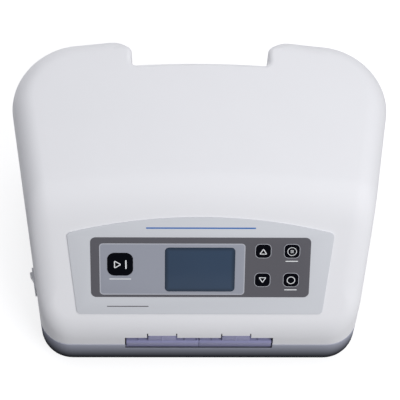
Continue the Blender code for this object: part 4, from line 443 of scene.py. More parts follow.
def moulded(name, colour, roughness, grain, depth, drift=0.03, grimy=False, **constants):
    """Injection moulded plastic or rubber from a spark-eroded tool: an even grain that takes the mirror
    off the surface, with the faintest cloudiness in tone where the melt has flowed. The real grain is
    about 0.1 mm, too fine to show, so it is drawn about ten times as coarse and very shallow. With the
    painted foot shade set, shade is painted into the tone: it darkens towards the foot, most in front."""
    material, tree, shader, place = start(name, colour, roughness, **constants)
    cloud = add(tree, "ShaderNodeTexNoise", {"Vector": place, "Scale": 1 / MELT_CLOUD, "Detail": 2.0})
    tone = add(tree, "ShaderNodeMix", {
        0: cloud.outputs["Fac"], 6: shaded(colour, 1 - drift), 7: shaded(colour, 1 + drift),
    }, data_type="RGBA")
    # Painted shade: the tone darkens towards the foot, most in front, in place of the shade that falls
    # there
    if grimy:
        parts = add(tree, "ShaderNodeSeparateXYZ", {"Vector": place})
        low = add(tree, "ShaderNodeMapRange", {
            "Value": parts.outputs["Y"], "From Min": PAINTED_SHADE_FRONT_Y, "From Max": 0.0,
            "To Min": PAINTED_SHADE_SHARE_FRONT, "To Max": PAINTED_SHADE_SHARE_REAR,
        })
        share = add(tree, "ShaderNodeMapRange", {
            "Value": parts.outputs["Z"], "From Min": PAINTED_SHADE_LOW, "From Max": PAINTED_SHADE_HIGH,
            "To Min": low.outputs["Result"], "To Max": 1.0,
        })
        tone = add(tree, "ShaderNodeMix", {
            0: share.outputs["Result"], 6: BLACK, 7: tone.outputs[2],
        }, data_type="RGBA")
    pits = add(tree, "ShaderNodeTexNoise", {
        "Vector": place, "Scale": 1 / grain, "Detail": 3.0, "Roughness": 0.6,
    })
    textured(tree, shader, tone.outputs[2], pits.outputs["Fac"], depth, strength=0.5,
             gloss=(roughness - 0.06, roughness + 0.06))
    return material


def printed_film(name, colour, roughness, **constants):
    """Reverse-printed polyester film with a velvet face: flat colour under a skin that breaks up
    reflections, with a weave of fine strokes that shows only in raking light. The real strokes are
    about 0.05 mm apart, too fine to show, so they are drawn 0.7 mm apart."""
    material, tree, shader, place = start(name, colour, roughness, IOR=1.57, **constants)
    stretched = add(tree, "ShaderNodeMapping", {"Vector": place, "Scale": (1.0, 2.6, 1.0)})
    velvet = add(tree, "ShaderNodeTexNoise", {
        "Vector": stretched.outputs["Vector"], "Scale": 1 / VELVET_STROKE, "Detail": 2.0,
    })
    cloud = add(tree, "ShaderNodeTexNoise", {"Vector": place, "Scale": 1 / INK_CLOUD, "Detail": 1.0})
    tone = add(tree, "ShaderNodeMix", {
        0: cloud.outputs["Fac"], 6: shaded(colour, 0.975), 7: shaded(colour, 1.03),
    }, data_type="RGBA")
    textured(tree, shader, tone.outputs[2], velvet.outputs["Fac"], depth=0.00003, strength=0.4,
             gloss=(roughness - 0.05, roughness + 0.08))
    return material


def display_window(name, colour, roughness, **constants):
    """Hard-coated acrylic over an idle liquid crystal cell: slate blue, with painted shade that darkens it
    towards the edges of the recess, under one clear, smooth skin that mirrors the room."""
    material, tree, shader, place = start(name, colour, roughness, **constants)
    parts = add(tree, "ShaderNodeSeparateXYZ", {"Vector": place})
    edges = []
    for axis, middle, width in zip("XY", WINDOW_CENTRE, WINDOW_SIZE):
        moved = add(tree, "ShaderNodeMath", {0: parts.outputs[axis], 1: middle}, operation="SUBTRACT")
        away = add(tree, "ShaderNodeMath", {0: moved.outputs[0]}, operation="ABSOLUTE")
        edges.append(add(tree, "ShaderNodeMapRange", {
            "Value": away.outputs[0],
            "From Min": width / 2 - WINDOW_PAINTED_SHADE_START, "From Max": width / 2 - WINDOW_PAINTED_SHADE_END,
        }).outputs["Result"])
    edge = add(tree, "ShaderNodeMath", {0: edges[0], 1: edges[1]}, operation="MAXIMUM")
    cells = add(tree, "ShaderNodeTexNoise", {"Vector": place, "Scale": 1 / CELL_CLOUD, "Detail": 1.0})
    middle_tone = add(tree, "ShaderNodeMix", {
        0: cells.outputs["Fac"], 6: shaded(colour, 0.93), 7: shaded(colour, 1.07),
    }, data_type="RGBA")
    # Painted shade: the tone darkens towards the window's edges
    tone = add(tree, "ShaderNodeMix", {
        0: edge.outputs[0], 6: middle_tone.outputs[2], 7: shaded(colour, 0.55),
    }, data_type="RGBA")
    tree.links.new(tone.outputs[2], shader.inputs["Base Color"])
    return material


def worked_metal(name, colour, roughness, lay, grit, depth):
    """Bare or plated metal with the lay of how it was worked: strokes along one direction, which stretch
    the reflections, and a slight change of brightness from grain to grain. The real strokes are about
    0.1 mm apart, too fine to show, so they are drawn 1 to 2 mm apart."""
    material, tree, shader, place = start(name, colour, roughness, Metallic=1.0)
    strokes = add(tree, "ShaderNodeMapping", {"Vector": place, "Scale": lay})
    grain = add(tree, "ShaderNodeTexNoise", {
        "Vector": strokes.outputs["Vector"], "Scale": 1 / grit, "Detail": 4.0, "Roughness": 0.65,
    })
    tone = add(tree, "ShaderNodeMix", {
        0: grain.outputs["Fac"], 6: shaded(colour, 0.86), 7: shaded(colour, 1.08),
    }, data_type="RGBA")
    textured(tree, shader, tone.outputs[2], grain.outputs["Fac"], depth, strength=0.6,
             gloss=(roughness - 0.1, roughness + 0.12))
    return material


def circuit_board(name, colour, track):
    """Glass epoxy board under green solder mask: copper tracks 0.6 mm wide show through as lighter
    green lines with a slight step, and the mask is glossy."""
    material, tree, shader, place = start(name, colour, 0.28, IOR=1.5)
    tracks = add(tree, "ShaderNodeTexBrick", {
        "Vector": place, "Scale": 1.0, "Color1": colour, "Color2": shaded(colour, 0.9),
        "Mortar": track, "Mortar Size": TRACK_HALF_WIDTH,
        "Brick Width": TRACK_FIELD[0], "Row Height": TRACK_FIELD[1],
    })
    textured(tree, shader, tracks.outputs["Color"], tracks.outputs["Fac"], depth=0.00005, strength=0.6)
    return material


def laminated_core(name, colour):
    """Varnished silicon steel sheets, stacked: fine dark lines between plates under amber varnish. The
    real plates are 0.5 mm thick, too fine to show, so they are drawn 2 mm thick."""
    material, tree, shader, place = start(name, colour, 0.42, IOR=1.5, Metallic=0.5)
    bands = add(tree, "ShaderNodeTexWave", {
        "Vector": place, "Scale": WAVE_UNIT / CORE_PLATE, "Distortion": 0.2,
    }, bands_direction="Z")
    tone = add(tree, "ShaderNodeMix", {
        0: bands.outputs["Fac"], 6: shaded(colour, 0.55), 7: shaded(colour, 1.15),
    }, data_type="RGBA")
    textured(tree, shader, tone.outputs[2], bands.outputs["Fac"], depth=0.0001, strength=0.5)
    return material


# Each finish: how it is made, its colour, which is a name from the sidebar or fixed, and its values
FINISHES = {
    # ABS housings: matt and even, with no mirror, so that the form reads by its shading, apart from the
    # painted shade at the base's foot
    "moulded_abs_white": (moulded, "cover", dict(
        roughness=0.50, grain=0.0012, depth=0.00006, drift=0.012, IOR=1.54, Specular_IOR_Level=0.25)),
    # The base has shade painted into its tone, darker towards its foot
    "moulded_abs_grey": (moulded, "base", dict(
        roughness=0.60, grain=0.0012, depth=0.00006, drift=0.02, grimy=True,
        IOR=1.54, Specular_IOR_Level=0.0)),
    # ABS small parts: a little glossier than the housings, with a soft highlight along the edges
    "moulded_abs_mid_grey": (moulded, "switch", dict(
        roughness=0.40, grain=0.0009, depth=0.00005, IOR=1.54)),
    "moulded_abs_dark_grey": (moulded, "dark", dict(
        roughness=0.42, grain=0.0009, depth=0.00005, drift=0.05, IOR=1.54)),
    # Films and inks: flat colour that stays the same from all sides
    "printed_polyester_light_grey": (printed_film, "label", dict(roughness=0.42, Specular_IOR_Level=0.4)),
    "printed_polyester_dark_grey": (printed_film, "fascia", dict(roughness=0.45, Specular_IOR_Level=0.3)),
    "printed_polyester_mid_grey": (printed_film, "inlay", dict(roughness=0.45, Specular_IOR_Level=0.3)),
    "screen_printed_white_ink": (printed_film, "marks", dict(roughness=0.55)),
    "screen_printed_light_grey_ink": (printed_film, "lines", dict(roughness=0.55)),
    "screen_printed_blue_ink": (printed_film, "accent", dict(roughness=0.55)),
    # Window: the one smooth and mirroring surface of the panel
    "hard_coated_acrylic_window": (display_window, "window", dict(
        roughness=0.14, IOR=1.49, Specular_IOR_Level=0.22)),
    # Rubbers: keys that swallow the light, and feet and mounts that are duller still
    "moulded_silicone_rubber_black": (moulded, "keys", dict(
        roughness=0.55, grain=0.0009, depth=0.00004, drift=0.1, IOR=1.41, Specular_IOR_Level=0.02)),
    "moulded_nitrile_rubber": (moulded, linear("242426"), dict(
        roughness=0.75, grain=0.0010, depth=0.00008, drift=0.08, IOR=1.52)),
    # Polypropylene: waxy, with a wide soft highlight
    "moulded_polypropylene_lilac": (moulded, "plugs", dict(
        roughness=0.38, grain=0.0010, depth=0.00005, IOR=1.49, Specular_IOR_Level=0.3)),
    # Nylon: satin when black, and milky when it keeps its natural colour
    "moulded_nylon_black": (moulded, linear("17181B"), dict(
        roughness=0.36, grain=0.0011, depth=0.00005, drift=0.08, IOR=1.53)),
    "moulded_nylon_natural": (moulded, linear("DAD7CC"), dict(
        roughness=0.40, grain=0.0014, depth=0.00006, IOR=1.53,
        Subsurface_Weight=0.15, Subsurface_Scale=0.002)),
    # Tube and sleeve: smooth skins, the tube cloudy and clear, the sleeve slightly uneven
    "extruded_silicone_tube": (moulded, linear("D5DADA"), dict(
        roughness=0.28, grain=0.0030, depth=0.00004, IOR=1.41, Transmission_Weight=0.45)),
    "heat_shrunk_sleeve": (moulded, linear("20304E"), dict(
        roughness=0.24, grain=0.0035, depth=0.00008, drift=0.06, IOR=1.52)),
    # Metals: bright plating and drawn stock with streaks, dull castings, and warm turned brass
    "zinc_plated_steel": (worked_metal, linear("C3C5C8"), dict(
        roughness=0.32, lay=(1.0, 4.0, 1.0), grit=0.0016, depth=0.00002)),
    "drawn_aluminium": (worked_metal, linear("CDCFD1"), dict(
        roughness=0.34, lay=(0.3, 3.0, 3.0), grit=0.0012, depth=0.00002)),
    "die_cast_alloy": (worked_metal, linear("A9ABAE"), dict(
        roughness=0.52, lay=(1.0, 1.0, 1.0), grit=0.0020, depth=0.00008)),
    "cut_brass": (worked_metal, linear("CFA857"), dict(
        roughness=0.30, lay=(1.0, 1.0, 5.0), grit=0.0010, depth=0.00002)),
    "green_circuit_board": (circuit_board, linear("1E5B33"), dict(track=linear("3A8550"))),
    "varnished_laminations": (laminated_core, linear("6A6258"), {}),
}


def finish(name):
    """The material of that name, made when it is first asked for."""
    if name in bpy.data.materials:
        return bpy.data.materials[name]
    if name not in FINISHES:
        raise RuntimeError(f"there is no finish named {name}")
    make, colour, values = FINISHES[name]
    if isinstance(colour, str):
        colour = tuple(getattr(bpy.context.scene.pump_colours, colour))
    return make(name, colour, **values)


# Shapes

# The least angle in degrees of an edge that stays sharp, on softened, housing and carved pieces
SOFTENED_SHARP = 50
HOUSING_SHARP = 38
CARVED_SHARP = 40

# Steps of an arc over a length of its radius: of most corners, of the body, the label and the marks
ARC_STEPS = 6
PLAN_ARC_STEPS = 5
LABEL_ARC_STEPS = 8
MARK_ARC_STEPS = 4

# The net of the deck: only what lies inside its outline, and the distance at which points become one
NET_INSIDE = 1
NET_TOLERANCE = 1e-7


def as_matrix(place, turn=(0.0, 0.0, 0.0)):
    """A local frame from its place and its turn about X, Y and Z."""
    from_axes = Matrix.Rotation(turn[2], 4, "Z") @ Matrix.Rotation(turn[1], 4, "Y")
    return Matrix.Translation(place) @ from_axes @ Matrix.Rotation(turn[0], 4, "X")


def new_object(name, bm):
    """A bmesh as an object of the scene, with its faces turned outwards."""
    bmesh.ops.recalc_face_normals(bm, faces=bm.faces)
    mesh = bpy.data.meshes.new(name)
    bm.to_mesh(mesh)
    bm.free()
    made = bpy.data.objects.new(name, mesh)
    bpy.context.scene.collection.objects.link(made)
    return made


def shade(piece, sharp):
    """Shade a piece smooth, apart from edges sharper than an angle."""
    piece.data.shade_smooth()
    piece.data.set_sharp_from_angle(angle=math.radians(sharp))


def dress(piece, material, sharp=35.0):
    """Give a piece its material and its shading."""
    piece.data.materials.clear()
    piece.data.materials.append(finish(material))
    shade(piece, sharp)


def add_piece(name, bm, material, body, stands_for=(), local=None):
    """Turn a bmesh into a piece of the pump that rides on a body."""
    piece = new_object(name, bm)
    dress(piece, material)
    if local is not None:
        piece.matrix_world = local
    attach(piece, body)
    if stands_for:
        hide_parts(*stands_for)
    return piece


def settle(piece):
    """Replace a piece's mesh by what its modifiers make of it."""
    graph = bpy.context.evaluated_depsgraph_get()
    made = bpy.data.meshes.new_from_object(piece.evaluated_get(graph))
    if not made.polygons:
        raise RuntimeError(f"nothing is left of {piece.name}")
    piece.modifiers.clear()
    old = piece.data
    piece.data = made
    name = old.name
    bpy.data.meshes.remove(old)
    made.name = name


def carve(piece, bm, operation="DIFFERENCE"):
    """Cut a bmesh out of a piece, or join it to the piece, and keep only the result."""
    tool = new_object("tool", bm)
    step = piece.modifiers.new("Carve", "BOOLEAN")
    step.operation = operation
    step.object = tool
    step.solver = "EXACT"
    settle(piece)
    bpy.data.meshes.remove(tool.data)


def soften(piece, width, segments=3, angle=40.0):
    """Round the sharp edges of a piece."""
    bevel = piece.modifiers.new("Soft edges", "BEVEL")
    bevel.width = width
    bevel.segments = segments
    bevel.limit_method = "ANGLE"
    bevel.angle_limit = math.radians(angle)
    settle(piece)
    shade(piece, SOFTENED_SHARP)


def join_shapes(*shapes):
    """Several bmeshes as one, without joining their surfaces."""
    whole = bmesh.new()
    for bm in shapes:
        mesh = bpy.data.meshes.new("part")
        bm.to_mesh(mesh)
        bm.free()
        whole.from_mesh(mesh)
        bpy.data.meshes.remove(mesh)
    return whole


def corner_places(pairs):
    """The place on the ground of each of four pieces, by the name of its corner."""
    return {f"{end}_{side}": (sign * x, y, 0.0)
            for end, (x, y) in pairs.items() for side, sign in (("left", -1), ("right", 1))}


def placed(bm, local):
    """A shape moved into a local frame."""
    bmesh.ops.transform(bm, matrix=local, verts=bm.verts)
    return bm


def along_y(bm):
    """Turn a shape built upwards so that it runs along +Y, and its outline's Y becomes Z."""
    return placed(bm, Matrix(((1, 0, 0, 0), (0, 0, 1, 0), (0, 1, 0, 0), (0, 0, 0, 1))))


def along_x(bm):
    """Turn a shape built upwards so that it runs along +X, and its outline lies in Y and Z."""
    return placed(bm, Matrix(((0, 0, 1, 0), (1, 0, 0, 0), (0, 1, 0, 0), (0, 0, 0, 1))))


def facing_front(bm):
    """Turn a shape built upwards so that it runs along -Y, and its outline's Y becomes Z."""
    return placed(along_y(bm), Matrix.Scale(-1, 4, (0, 1, 0)))


def block(size, centre, local=None):
    """A box that is only ever a tool or the core of a softened piece."""
    bm = bmesh.new()
    bmesh.ops.create_cube(bm, size=1.0)
    bmesh.ops.scale(bm, vec=size, verts=bm.verts)
    bmesh.ops.translate(bm, vec=centre, verts=bm.verts)
    return bm if local is None else placed(bm, local)


def corner_arc(before, corner, after, radius, step):
    """Points of the arc that rounds one corner of an outline."""
    corner = Vector(corner)
    back = (Vector(before) - corner).normalized()
    ahead = (Vector(after) - corner).normalized()
    half = back.angle(ahead) / 2
    centre = corner + (back + ahead).normalized() * radius / math.sin(half)
    begin = corner + back * radius / math.tan(half) - centre
    end = corner + ahead * radius / math.tan(half) - centre
    first = math.atan2(begin.y, begin.x)
    turn = (math.atan2(end.y, end.x) - first + math.pi) % (2 * math.pi) - math.pi
    steps = max(3, math.ceil(abs(turn) * radius / step))
    angles = [first + turn * index / steps for index in range(steps + 1)]
    return [centre + radius * Vector((math.cos(angle), math.sin(angle))) for angle in angles]


def round_rectangle(size, radius, centre=(0.0, 0.0)):
    """A rectangle with rounded corners, counter-clockwise."""
    x, y = size[0] / 2, size[1] / 2
    corners = [(centre[0] + u, centre[1] + v) for u, v in ((-x, -y), (x, -y), (x, y), (-x, y))]
    points = []
    for index, corner in enumerate(corners):
        points += corner_arc(corners[index - 1], corner, corners[(index + 1) % 4], radius,
                             radius / ARC_STEPS)
    return points


def circle(radius, centre=(0.0, 0.0), sides=40):
    """A circle as an outline."""
    turns = [2 * math.pi * index / sides for index in range(sides)]
    return [Vector((centre[0] + radius * math.cos(t), centre[1] + radius * math.sin(t))) for t in turns]


def inset(points, distances):
    """The outline moved inward by a distance at each point."""
    moved = []
    count = len(points)
    for index, point in enumerate(points):
        before = (point - points[index - 1]).normalized()
        after = (points[(index + 1) % count] - point).normalized()
        inward = Vector((-before.y, before.x)) + Vector((-after.y, after.x))
        inward.normalize()
        stretch = max(inward.dot(Vector((-after.y, after.x))), 0.5)
        moved.append(point + inward * distances[index] / stretch)
    return moved


def skin(bm, rings, close=True):
    """Faces from ring to ring, with a cap on the first and the last."""
    verts = [[bm.verts.new(point) for point in ring] for ring in rings]
    count = len(verts[0])
    for low, high in zip(verts[:-1], verts[1:]):
        for index in range(count):
            after = (index + 1) % count
            bm.faces.new((low[index], low[after], high[after], high[index]))
    if close:
        bm.faces.new(verts[0][::-1])
        bm.faces.new(verts[-1])
    return verts


def plate(outline, low, high, edge=0.0, steps=3):
    """A flat outline pushed up from one height to another, with its upper edge rounded."""
    bm = bmesh.new()
    rings = [[(*point, low) for point in outline]]
    for step in range(steps + 1 if edge else 1):
        angle = math.pi / 2 * step / steps
        reach = edge * (1 - math.cos(angle))
        height = high - edge + edge * math.sin(angle) if edge else high
        rings.append([(*point, height) for point in inset(outline, [reach] * len(outline))])
    skin(bm, rings)
    return bm


def ring_plate(outer, inner, low, high):
    """A flat line between two outlines with the same number of points."""
    bm = bmesh.new()
    rings = []
    for outline, height in ((outer, low), (outer, high), (inner, high), (inner, low)):
        rings.append([(*point, height) for point in outline])
    verts = skin(bm, rings, close=False)
    count = len(outer)
    for index in range(count):
        after = (index + 1) % count
        bm.faces.new((verts[-1][index], verts[-1][after], verts[0][after], verts[0][index]))
    return bm


def turned(profile, centre, sides=48):
    """A turned solid from (radius, height) points."""
    bm = bmesh.new()
    rings = []
    for radius, height in profile:
        ring = circle(radius, centre[:2], sides)
        rings.append([(*point, centre[2] + height) for point in ring])
    skin(bm, rings)
    return bm


# The body's surfaces


def body_plan(sizes):
    """The outline of the body at the seam, counter-clockwise from the front centre."""
    notch_y = REAR_Y - NOTCH_DEPTH
    corners = (
        (0.0, FRONT_Y),
        (FRONT_HALF_WIDTH, FRONT_Y, FRONT_CORNER_RADIUS),
        (REAR_HALF_WIDTH, REAR_Y - EAR_SETBACK, REAR_CORNER_RADIUS),
        (NOTCH_HALF_WIDTH, REAR_Y, EAR_CORNER_RADIUS),
        (NOTCH_HALF_WIDTH, notch_y, NOTCH_CORNER_RADIUS),
        (0.0, notch_y),
    )
    right = [Vector(corners[0])]
    for index in range(1, len(corners) - 1):
        x, y, radius = corners[index]
        step = min(sizes.plan_step, radius / PLAN_ARC_STEPS)
        right += corner_arc(corners[index - 1][:2], (x, y), corners[index + 1][:2], radius, step)
    right.append(Vector(corners[-1]))
    half = [right[0]]
    for point in right[1:]:
        length = (point - half[-1]).length
        beside_ridge = point.x > FRONT_HALF_WIDTH and length > REAR_CORNER_RADIUS
        step = sizes.ridge_step if beside_ridge else sizes.plan_step
        pieces = max(1, math.ceil(length / step))
        half += [half[-1].lerp(point, piece / pieces) for piece in range(1, pieces + 1)]
    run = NOTCH_HALF_WIDTH - NOTCH_CORNER_RADIUS
    for point in half:
        if point.y > FRONT_Y + NOTCH_DEPTH and abs(point.x) < run:
            point.y += NOTCH_BULGE * (1 - (point.x / run) ** 2)
    return half + [Vector((-point.x, point.y)) for point in reversed(half[1:-1])]


def eased(value):
    """A share that eases from 0 to 1."""
    value = min(max(value, 0.0), 1.0)
    return value * value * (3 - 2 * value)


def top_height(x, y):
    """Height of the cover's upper surface: a sloped panel that blends into a crowned deck."""
    slope = PANEL_FOOT_HEIGHT + (y - FRONT_Y - PANEL_FOOT_INSET) * math.tan(PANEL_SLOPE)
    deck = DECK_HEIGHT - DECK_CROWN * (x / REAR_HALF_WIDTH) ** 2
    deck += (y - REAR_Y) * math.tan(DECK_TILT)
    mix = min(max(0.5 + 0.5 * (deck - slope) / RIDGE_BLEND, 0.0), 1.0)
    return deck * (1 - mix) + slope * mix - RIDGE_BLEND * mix * (1 - mix)


def edge_setback(point, outward, side, notch):
    """How far from the edge the rounding starts: less in the notch than on the sides."""
    beyond = abs(point.x) - NOTCH_HALF_WIDTH
    if point.y < REAR_Y - NOTCH_DEPTH - SETBACK_RUN:
        return side
    if beyond < GAP:
        return notch
    corner = min(side, EAR_CORNER_RADIUS * CORNER_SETBACK_SHARE)
    if beyond < EAR_CORNER_RADIUS - GAP:
        return notch + (corner - notch) * eased(outward.y)
    return corner + (side - corner) * eased((beyond - EAR_CORNER_RADIUS) / SETBACK_RUN)


def outward_normals(points):
    """The unit vectors that point out of an outline at each of its points."""
    inner = inset(points, [COVER_WALL] * len(points))
    return [(point - inside).normalized() for point, inside in zip(points, inner)]


def cover_rings(sizes):
    """The rings of the cover's outer surface, from the seam to the end of the edge rounding."""
    plan = body_plan(sizes)
    normals = outward_normals(plan)
    setbacks = []
    for point, outward in zip(plan, normals):
        lip = eased((point.y - FRONT_Y) / FRONT_CORNER_RADIUS)
        side = LIP_SETBACK + (SIDE_SETBACK - LIP_SETBACK) * lip
        setbacks.append(edge_setback(point, outward, side, NOTCH_SETBACK))
    wall_tops = [top_height(*point) - setback for point, setback in zip(plan, setbacks)]
    wall = inset(plan, [(height - SEAM_HEIGHT) * math.tan(WALL_DRAFT) for height in wall_tops])
    chamfer = sizes.seam_chamfer
    low = SEAM_HEIGHT + GAP
    rings = [
        [Vector((*point, low)) for point in inset(plan, [chamfer] * len(plan))],
        [Vector((*point, low + chamfer)) for point in plan],
        [Vector((*point, height)) for point, height in zip(wall, wall_tops)],
    ]
    edges = []
    for outward, setback in zip(normals, setbacks):
        share = eased((-outward.y - math.sin(WALL_TAPER)) / (1 - math.sin(WALL_TAPER)))
        pitch = math.atan(math.tan(PANEL_SLOPE) * share)
        turn = math.pi / 2 - pitch
        edges.append((pitch, turn, setback / math.tan(turn / 2)))
    for step in range(1, sizes.edge_steps + 1):
        reaches, drops = [], []
        for (pitch, turn, radius), setback in zip(edges, setbacks):
            angle = turn * step / sizes.edge_steps
            reach = radius * (1 - math.cos(angle))
            reaches.append(reach)
            drops.append(max(reach * math.tan(pitch) + setback - radius * math.sin(angle), 0.0))
        ring = inset(wall, reaches)
        rings.append([Vector((*p, top_height(*p) - drop)) for p, drop in zip(ring, drops)])
    return rings


def inside_outline(x, y, points):
    """Whether a point lies inside an outline."""
    found = False
    for index, point in enumerate(points):
        other = points[index - 1]
        if (point.y > y) != (other.y > y):
            if x < (other.x - point.x) * (y - point.y) / (other.y - point.y) + point.x:
                found = not found
    return found


def deck_points(ring, sizes):
    """Points inside the cover's last ring, closer together where the ridge bends."""
    middle = FRONT_Y + PANEL_FOOT_INSET + (DECK_HEIGHT - PANEL_FOOT_HEIGHT) / math.tan(PANEL_SLOPE)
    half_run = RIDGE_BLEND / math.tan(PANEL_SLOPE) + 2 * sizes.ridge_step
    spacing = DECK_SPACING_SHARE * sizes.plan_step
    room = inset(ring, [sizes.ridge_step / 2] * len(ring))
    low, high = min(p.y for p in ring), max(p.y for p in ring)
    rows, y = [], low
    while y < high:
        rows.append(y)
        y += sizes.ridge_step if abs(y - middle) < half_run else spacing
    count = int(REAR_HALF_WIDTH / spacing)
    columns = [index * spacing for index in range(-count, count + 1)]
    return [Vector((x, y)) for y in rows for x in columns if inside_outline(x, y, room)]


def fill_deck(bm, ring, sizes):
    """Close the cover's last ring with a net of triangles that follows the upper surface."""
    outline = [vert.co.xy for vert in ring]
    count = len(outline)
    points = outline + deck_points(outline, sizes)
    made = delaunay_2d_cdt(points, [], [list(range(count))], NET_INSIDE, NET_TOLERANCE)
    verts = []
    for place, source in zip(made[0], made[3]):
        known = [index for index in source if index < count]
        if known:
            verts.append(ring[known[0]])
        else:
            verts.append(bm.verts.new((place.x, place.y, top_height(place.x, place.y))))
    for face in made[2]:
        bm.faces.new([verts[index] for index in face])


def wall_frame(x, y, height, outward):
    """A frame on a wall of the cover whose local -Y points out of the wall."""
    lean = (height - SEAM_HEIGHT) * math.tan(WALL_DRAFT)
    place = Vector((x, y)) - lean * Vector((math.cos(outward), math.sin(outward)))
    return as_matrix((place.x, place.y, height), (0.0, 0.0, outward + math.pi / 2))


def rear_wall_frame(x, height):
    """A frame on the rear wall of an ear."""
    slant = math.atan2(EAR_SETBACK, REAR_HALF_WIDTH - NOTCH_HALF_WIDTH)
    y = REAR_Y - (abs(x) - NOTCH_HALF_WIDTH) * math.tan(slant)
    return wall_frame(x, y, height, math.pi / 2 - math.copysign(slant, x))


def rocker_frame():
    """The frame of the mains switch on the left wall."""
    x = -(FRONT_HALF_WIDTH + (ROCKER_Y - FRONT_Y) * math.tan(WALL_TAPER))
    return wall_frame(x, ROCKER_Y, ROCKER_HEIGHT, math.pi + WALL_TAPER)


def panel_frame():
    """The frame of the panel: X across it, Y up the slope, Z out of it."""
    return as_matrix((0.0, FRONT_Y + PANEL_FOOT_INSET, PANEL_FOOT_HEIGHT), (PANEL_SLOPE, 0.0, 0.0))


# Cover and base


def front_opening(width, low, high, x=0.0):
    """A block that cuts through the front walls between two heights."""
    return block((width, STRIP_CUT_DEPTH, high - low), (x, FRONT_Y, (low + high) / 2))


def pocket_shapes():
    """The wall that lines the carrying pocket, and the space inside it."""
    wall_y = REAR_Y - NOTCH_DEPTH
    floor_y = wall_y - POCKET_DEPTH
    centre = (0.0, top_height(0, wall_y) - POCKET_DROP - POCKET_HEIGHT / 2)
    size = (2 * POCKET_HALF_WIDTH, POCKET_HEIGHT)
    lined_size = [side + 2 * COVER_WALL for side in size]
    lining = round_rectangle(lined_size, POCKET_RADIUS + COVER_WALL, centre)
    space = round_rectangle(size, POCKET_RADIUS, centre)
    return (along_y(plate(lining, floor_y - COVER_WALL, wall_y - COVER_WALL / 2)),
            along_y(plate(space, floor_y, wall_y + NOTCH_BULGE + 2 * CLEAR)))


def cover_openings():
    """The openings in the cover that the panel, the strip, the switch and the inlet fill, and the vents."""
    width, height = (side - 2 * CARRIER_MARGIN for side in FASCIA_SIZE)
    shapes = [block((width, height, 4 * CARRIER_DEPTH), (*FASCIA_CENTRE, 0.0), panel_frame()),
              front_opening(2 * STRIP_HALF_WIDTH, STRIP_BOTTOM, STRIP_TOP)]
    rocker_body = [side - ROCKER_RIM for side in ROCKER_BEZEL]
    for size, local in ((rocker_body, rocker_frame()),
                        (INLET_BODY, rear_wall_frame(INLET_X, INLET_HEIGHT))):
        width, height = (side + 2 * GAP for side in size)
        shapes.append(block((width, 4 * COVER_WALL, height), (0.0, COVER_WALL, 0.0), local))
    vents = rear_wall_frame(VENT_X, VENT_HEIGHT)
    for index in range(VENT_SLOTS):
        height = (index - (VENT_SLOTS - 1) / 2) * VENT_PITCH
        outline = round_rectangle(VENT_SLOT, VENT_SLOT[1] * VENT_END_SHARE, (0.0, height))
        shapes.append(placed(along_y(plate(outline, -COVER_WALL, 3 * COVER_WALL)), vents))
    return shapes


def build_cover(sizes):
    """The cover: a thin moulding with soft edges, its pocket, and the openings that others fill."""
    bm = bmesh.new()
    verts = skin(bm, cover_rings(sizes), close=False)
    fill_deck(bm, verts[-1], sizes)
    cover = add_piece("cover_moulding", bm, "moulded_abs_white", "housing", ("top_cover",))
    shell = cover.modifiers.new("Wall", "SOLIDIFY")
    shell.thickness = COVER_WALL
    shell.offset = -1.0
    shell.use_even_offset = True
    settle(cover)

    lining, space = pocket_shapes()
    carve(cover, lining, "UNION")
    carve(cover, join_shapes(space, *cover_openings()))
    top = LATCH_TOP + LATCH_SLIT
    for middle in (-PLUG_X, PLUG_X):
        carve(cover, front_opening(LATCH_WIDTH + 2 * LATCH_SLIT, SEAM_HEIGHT, top, middle))
        for edge in (-1, 1):
            x = middle + edge * (LATCH_WIDTH + LATCH_SLIT) / 2
            carve(cover, front_opening(LATCH_SLIT, SEAM_HEIGHT, top + sizes.slit_rise, x))
    dress(cover, "moulded_abs_white", HOUSING_SHARP)


def base_rings(plan, normals, wall, steps):
    """The rings of the base's surface at a depth inside it, from the seam down to its flat floor."""
    radii = []
    for point, outward in zip(plan, normals):
        radii.append(edge_setback(point, outward, BASE_SETBACK, BASE_NOTCH_SETBACK) - wall)
    rings = []
    for step in range(steps + 1):
        angle = math.pi / 2 * step / steps
        ring = inset(plan, [wall + radius * (1 - math.cos(angle)) for radius in radii])
        heights = [BASE_BOTTOM + wall + radius * (1 - math.sin(angle)) for radius in radii]
        rings.append([Vector((*point, height)) for point, height in zip(ring, heights)])
    return rings


def base_cuts(gutter):
    """The strip's opening, the gutter under it, the wells of the screws and the seats of the feet."""
    cuts = [front_opening(2 * STRIP_HALF_WIDTH, STRIP_BOTTOM, STRIP_TOP),
            block((2 * STRIP_HALF_WIDTH, gutter, 3 * gutter),
                  (0.0, FRONT_Y + GUTTER_RIM + gutter / 2, STRIP_BOTTOM - gutter))]
    bore = SCREW_HEAD_RADIUS + GAP
    well = ((bore + WELL_CHAMFER, 0.0), (bore + WELL_CHAMFER, BASE_BOTTOM),
            (bore, BASE_BOTTOM + WELL_CHAMFER), (bore, WELL_TOP))
    seat = ((FOOT_RADIUS + GAP, 0.0), (FOOT_RADIUS + GAP, FOOT_HEIGHT + GAP))
    for profile, pairs in ((well, SCREW_PAIRS), (seat, FOOT_PAIRS)):
        cuts += [turned(profile, place) for place in corner_places(pairs).values()]
    return cuts


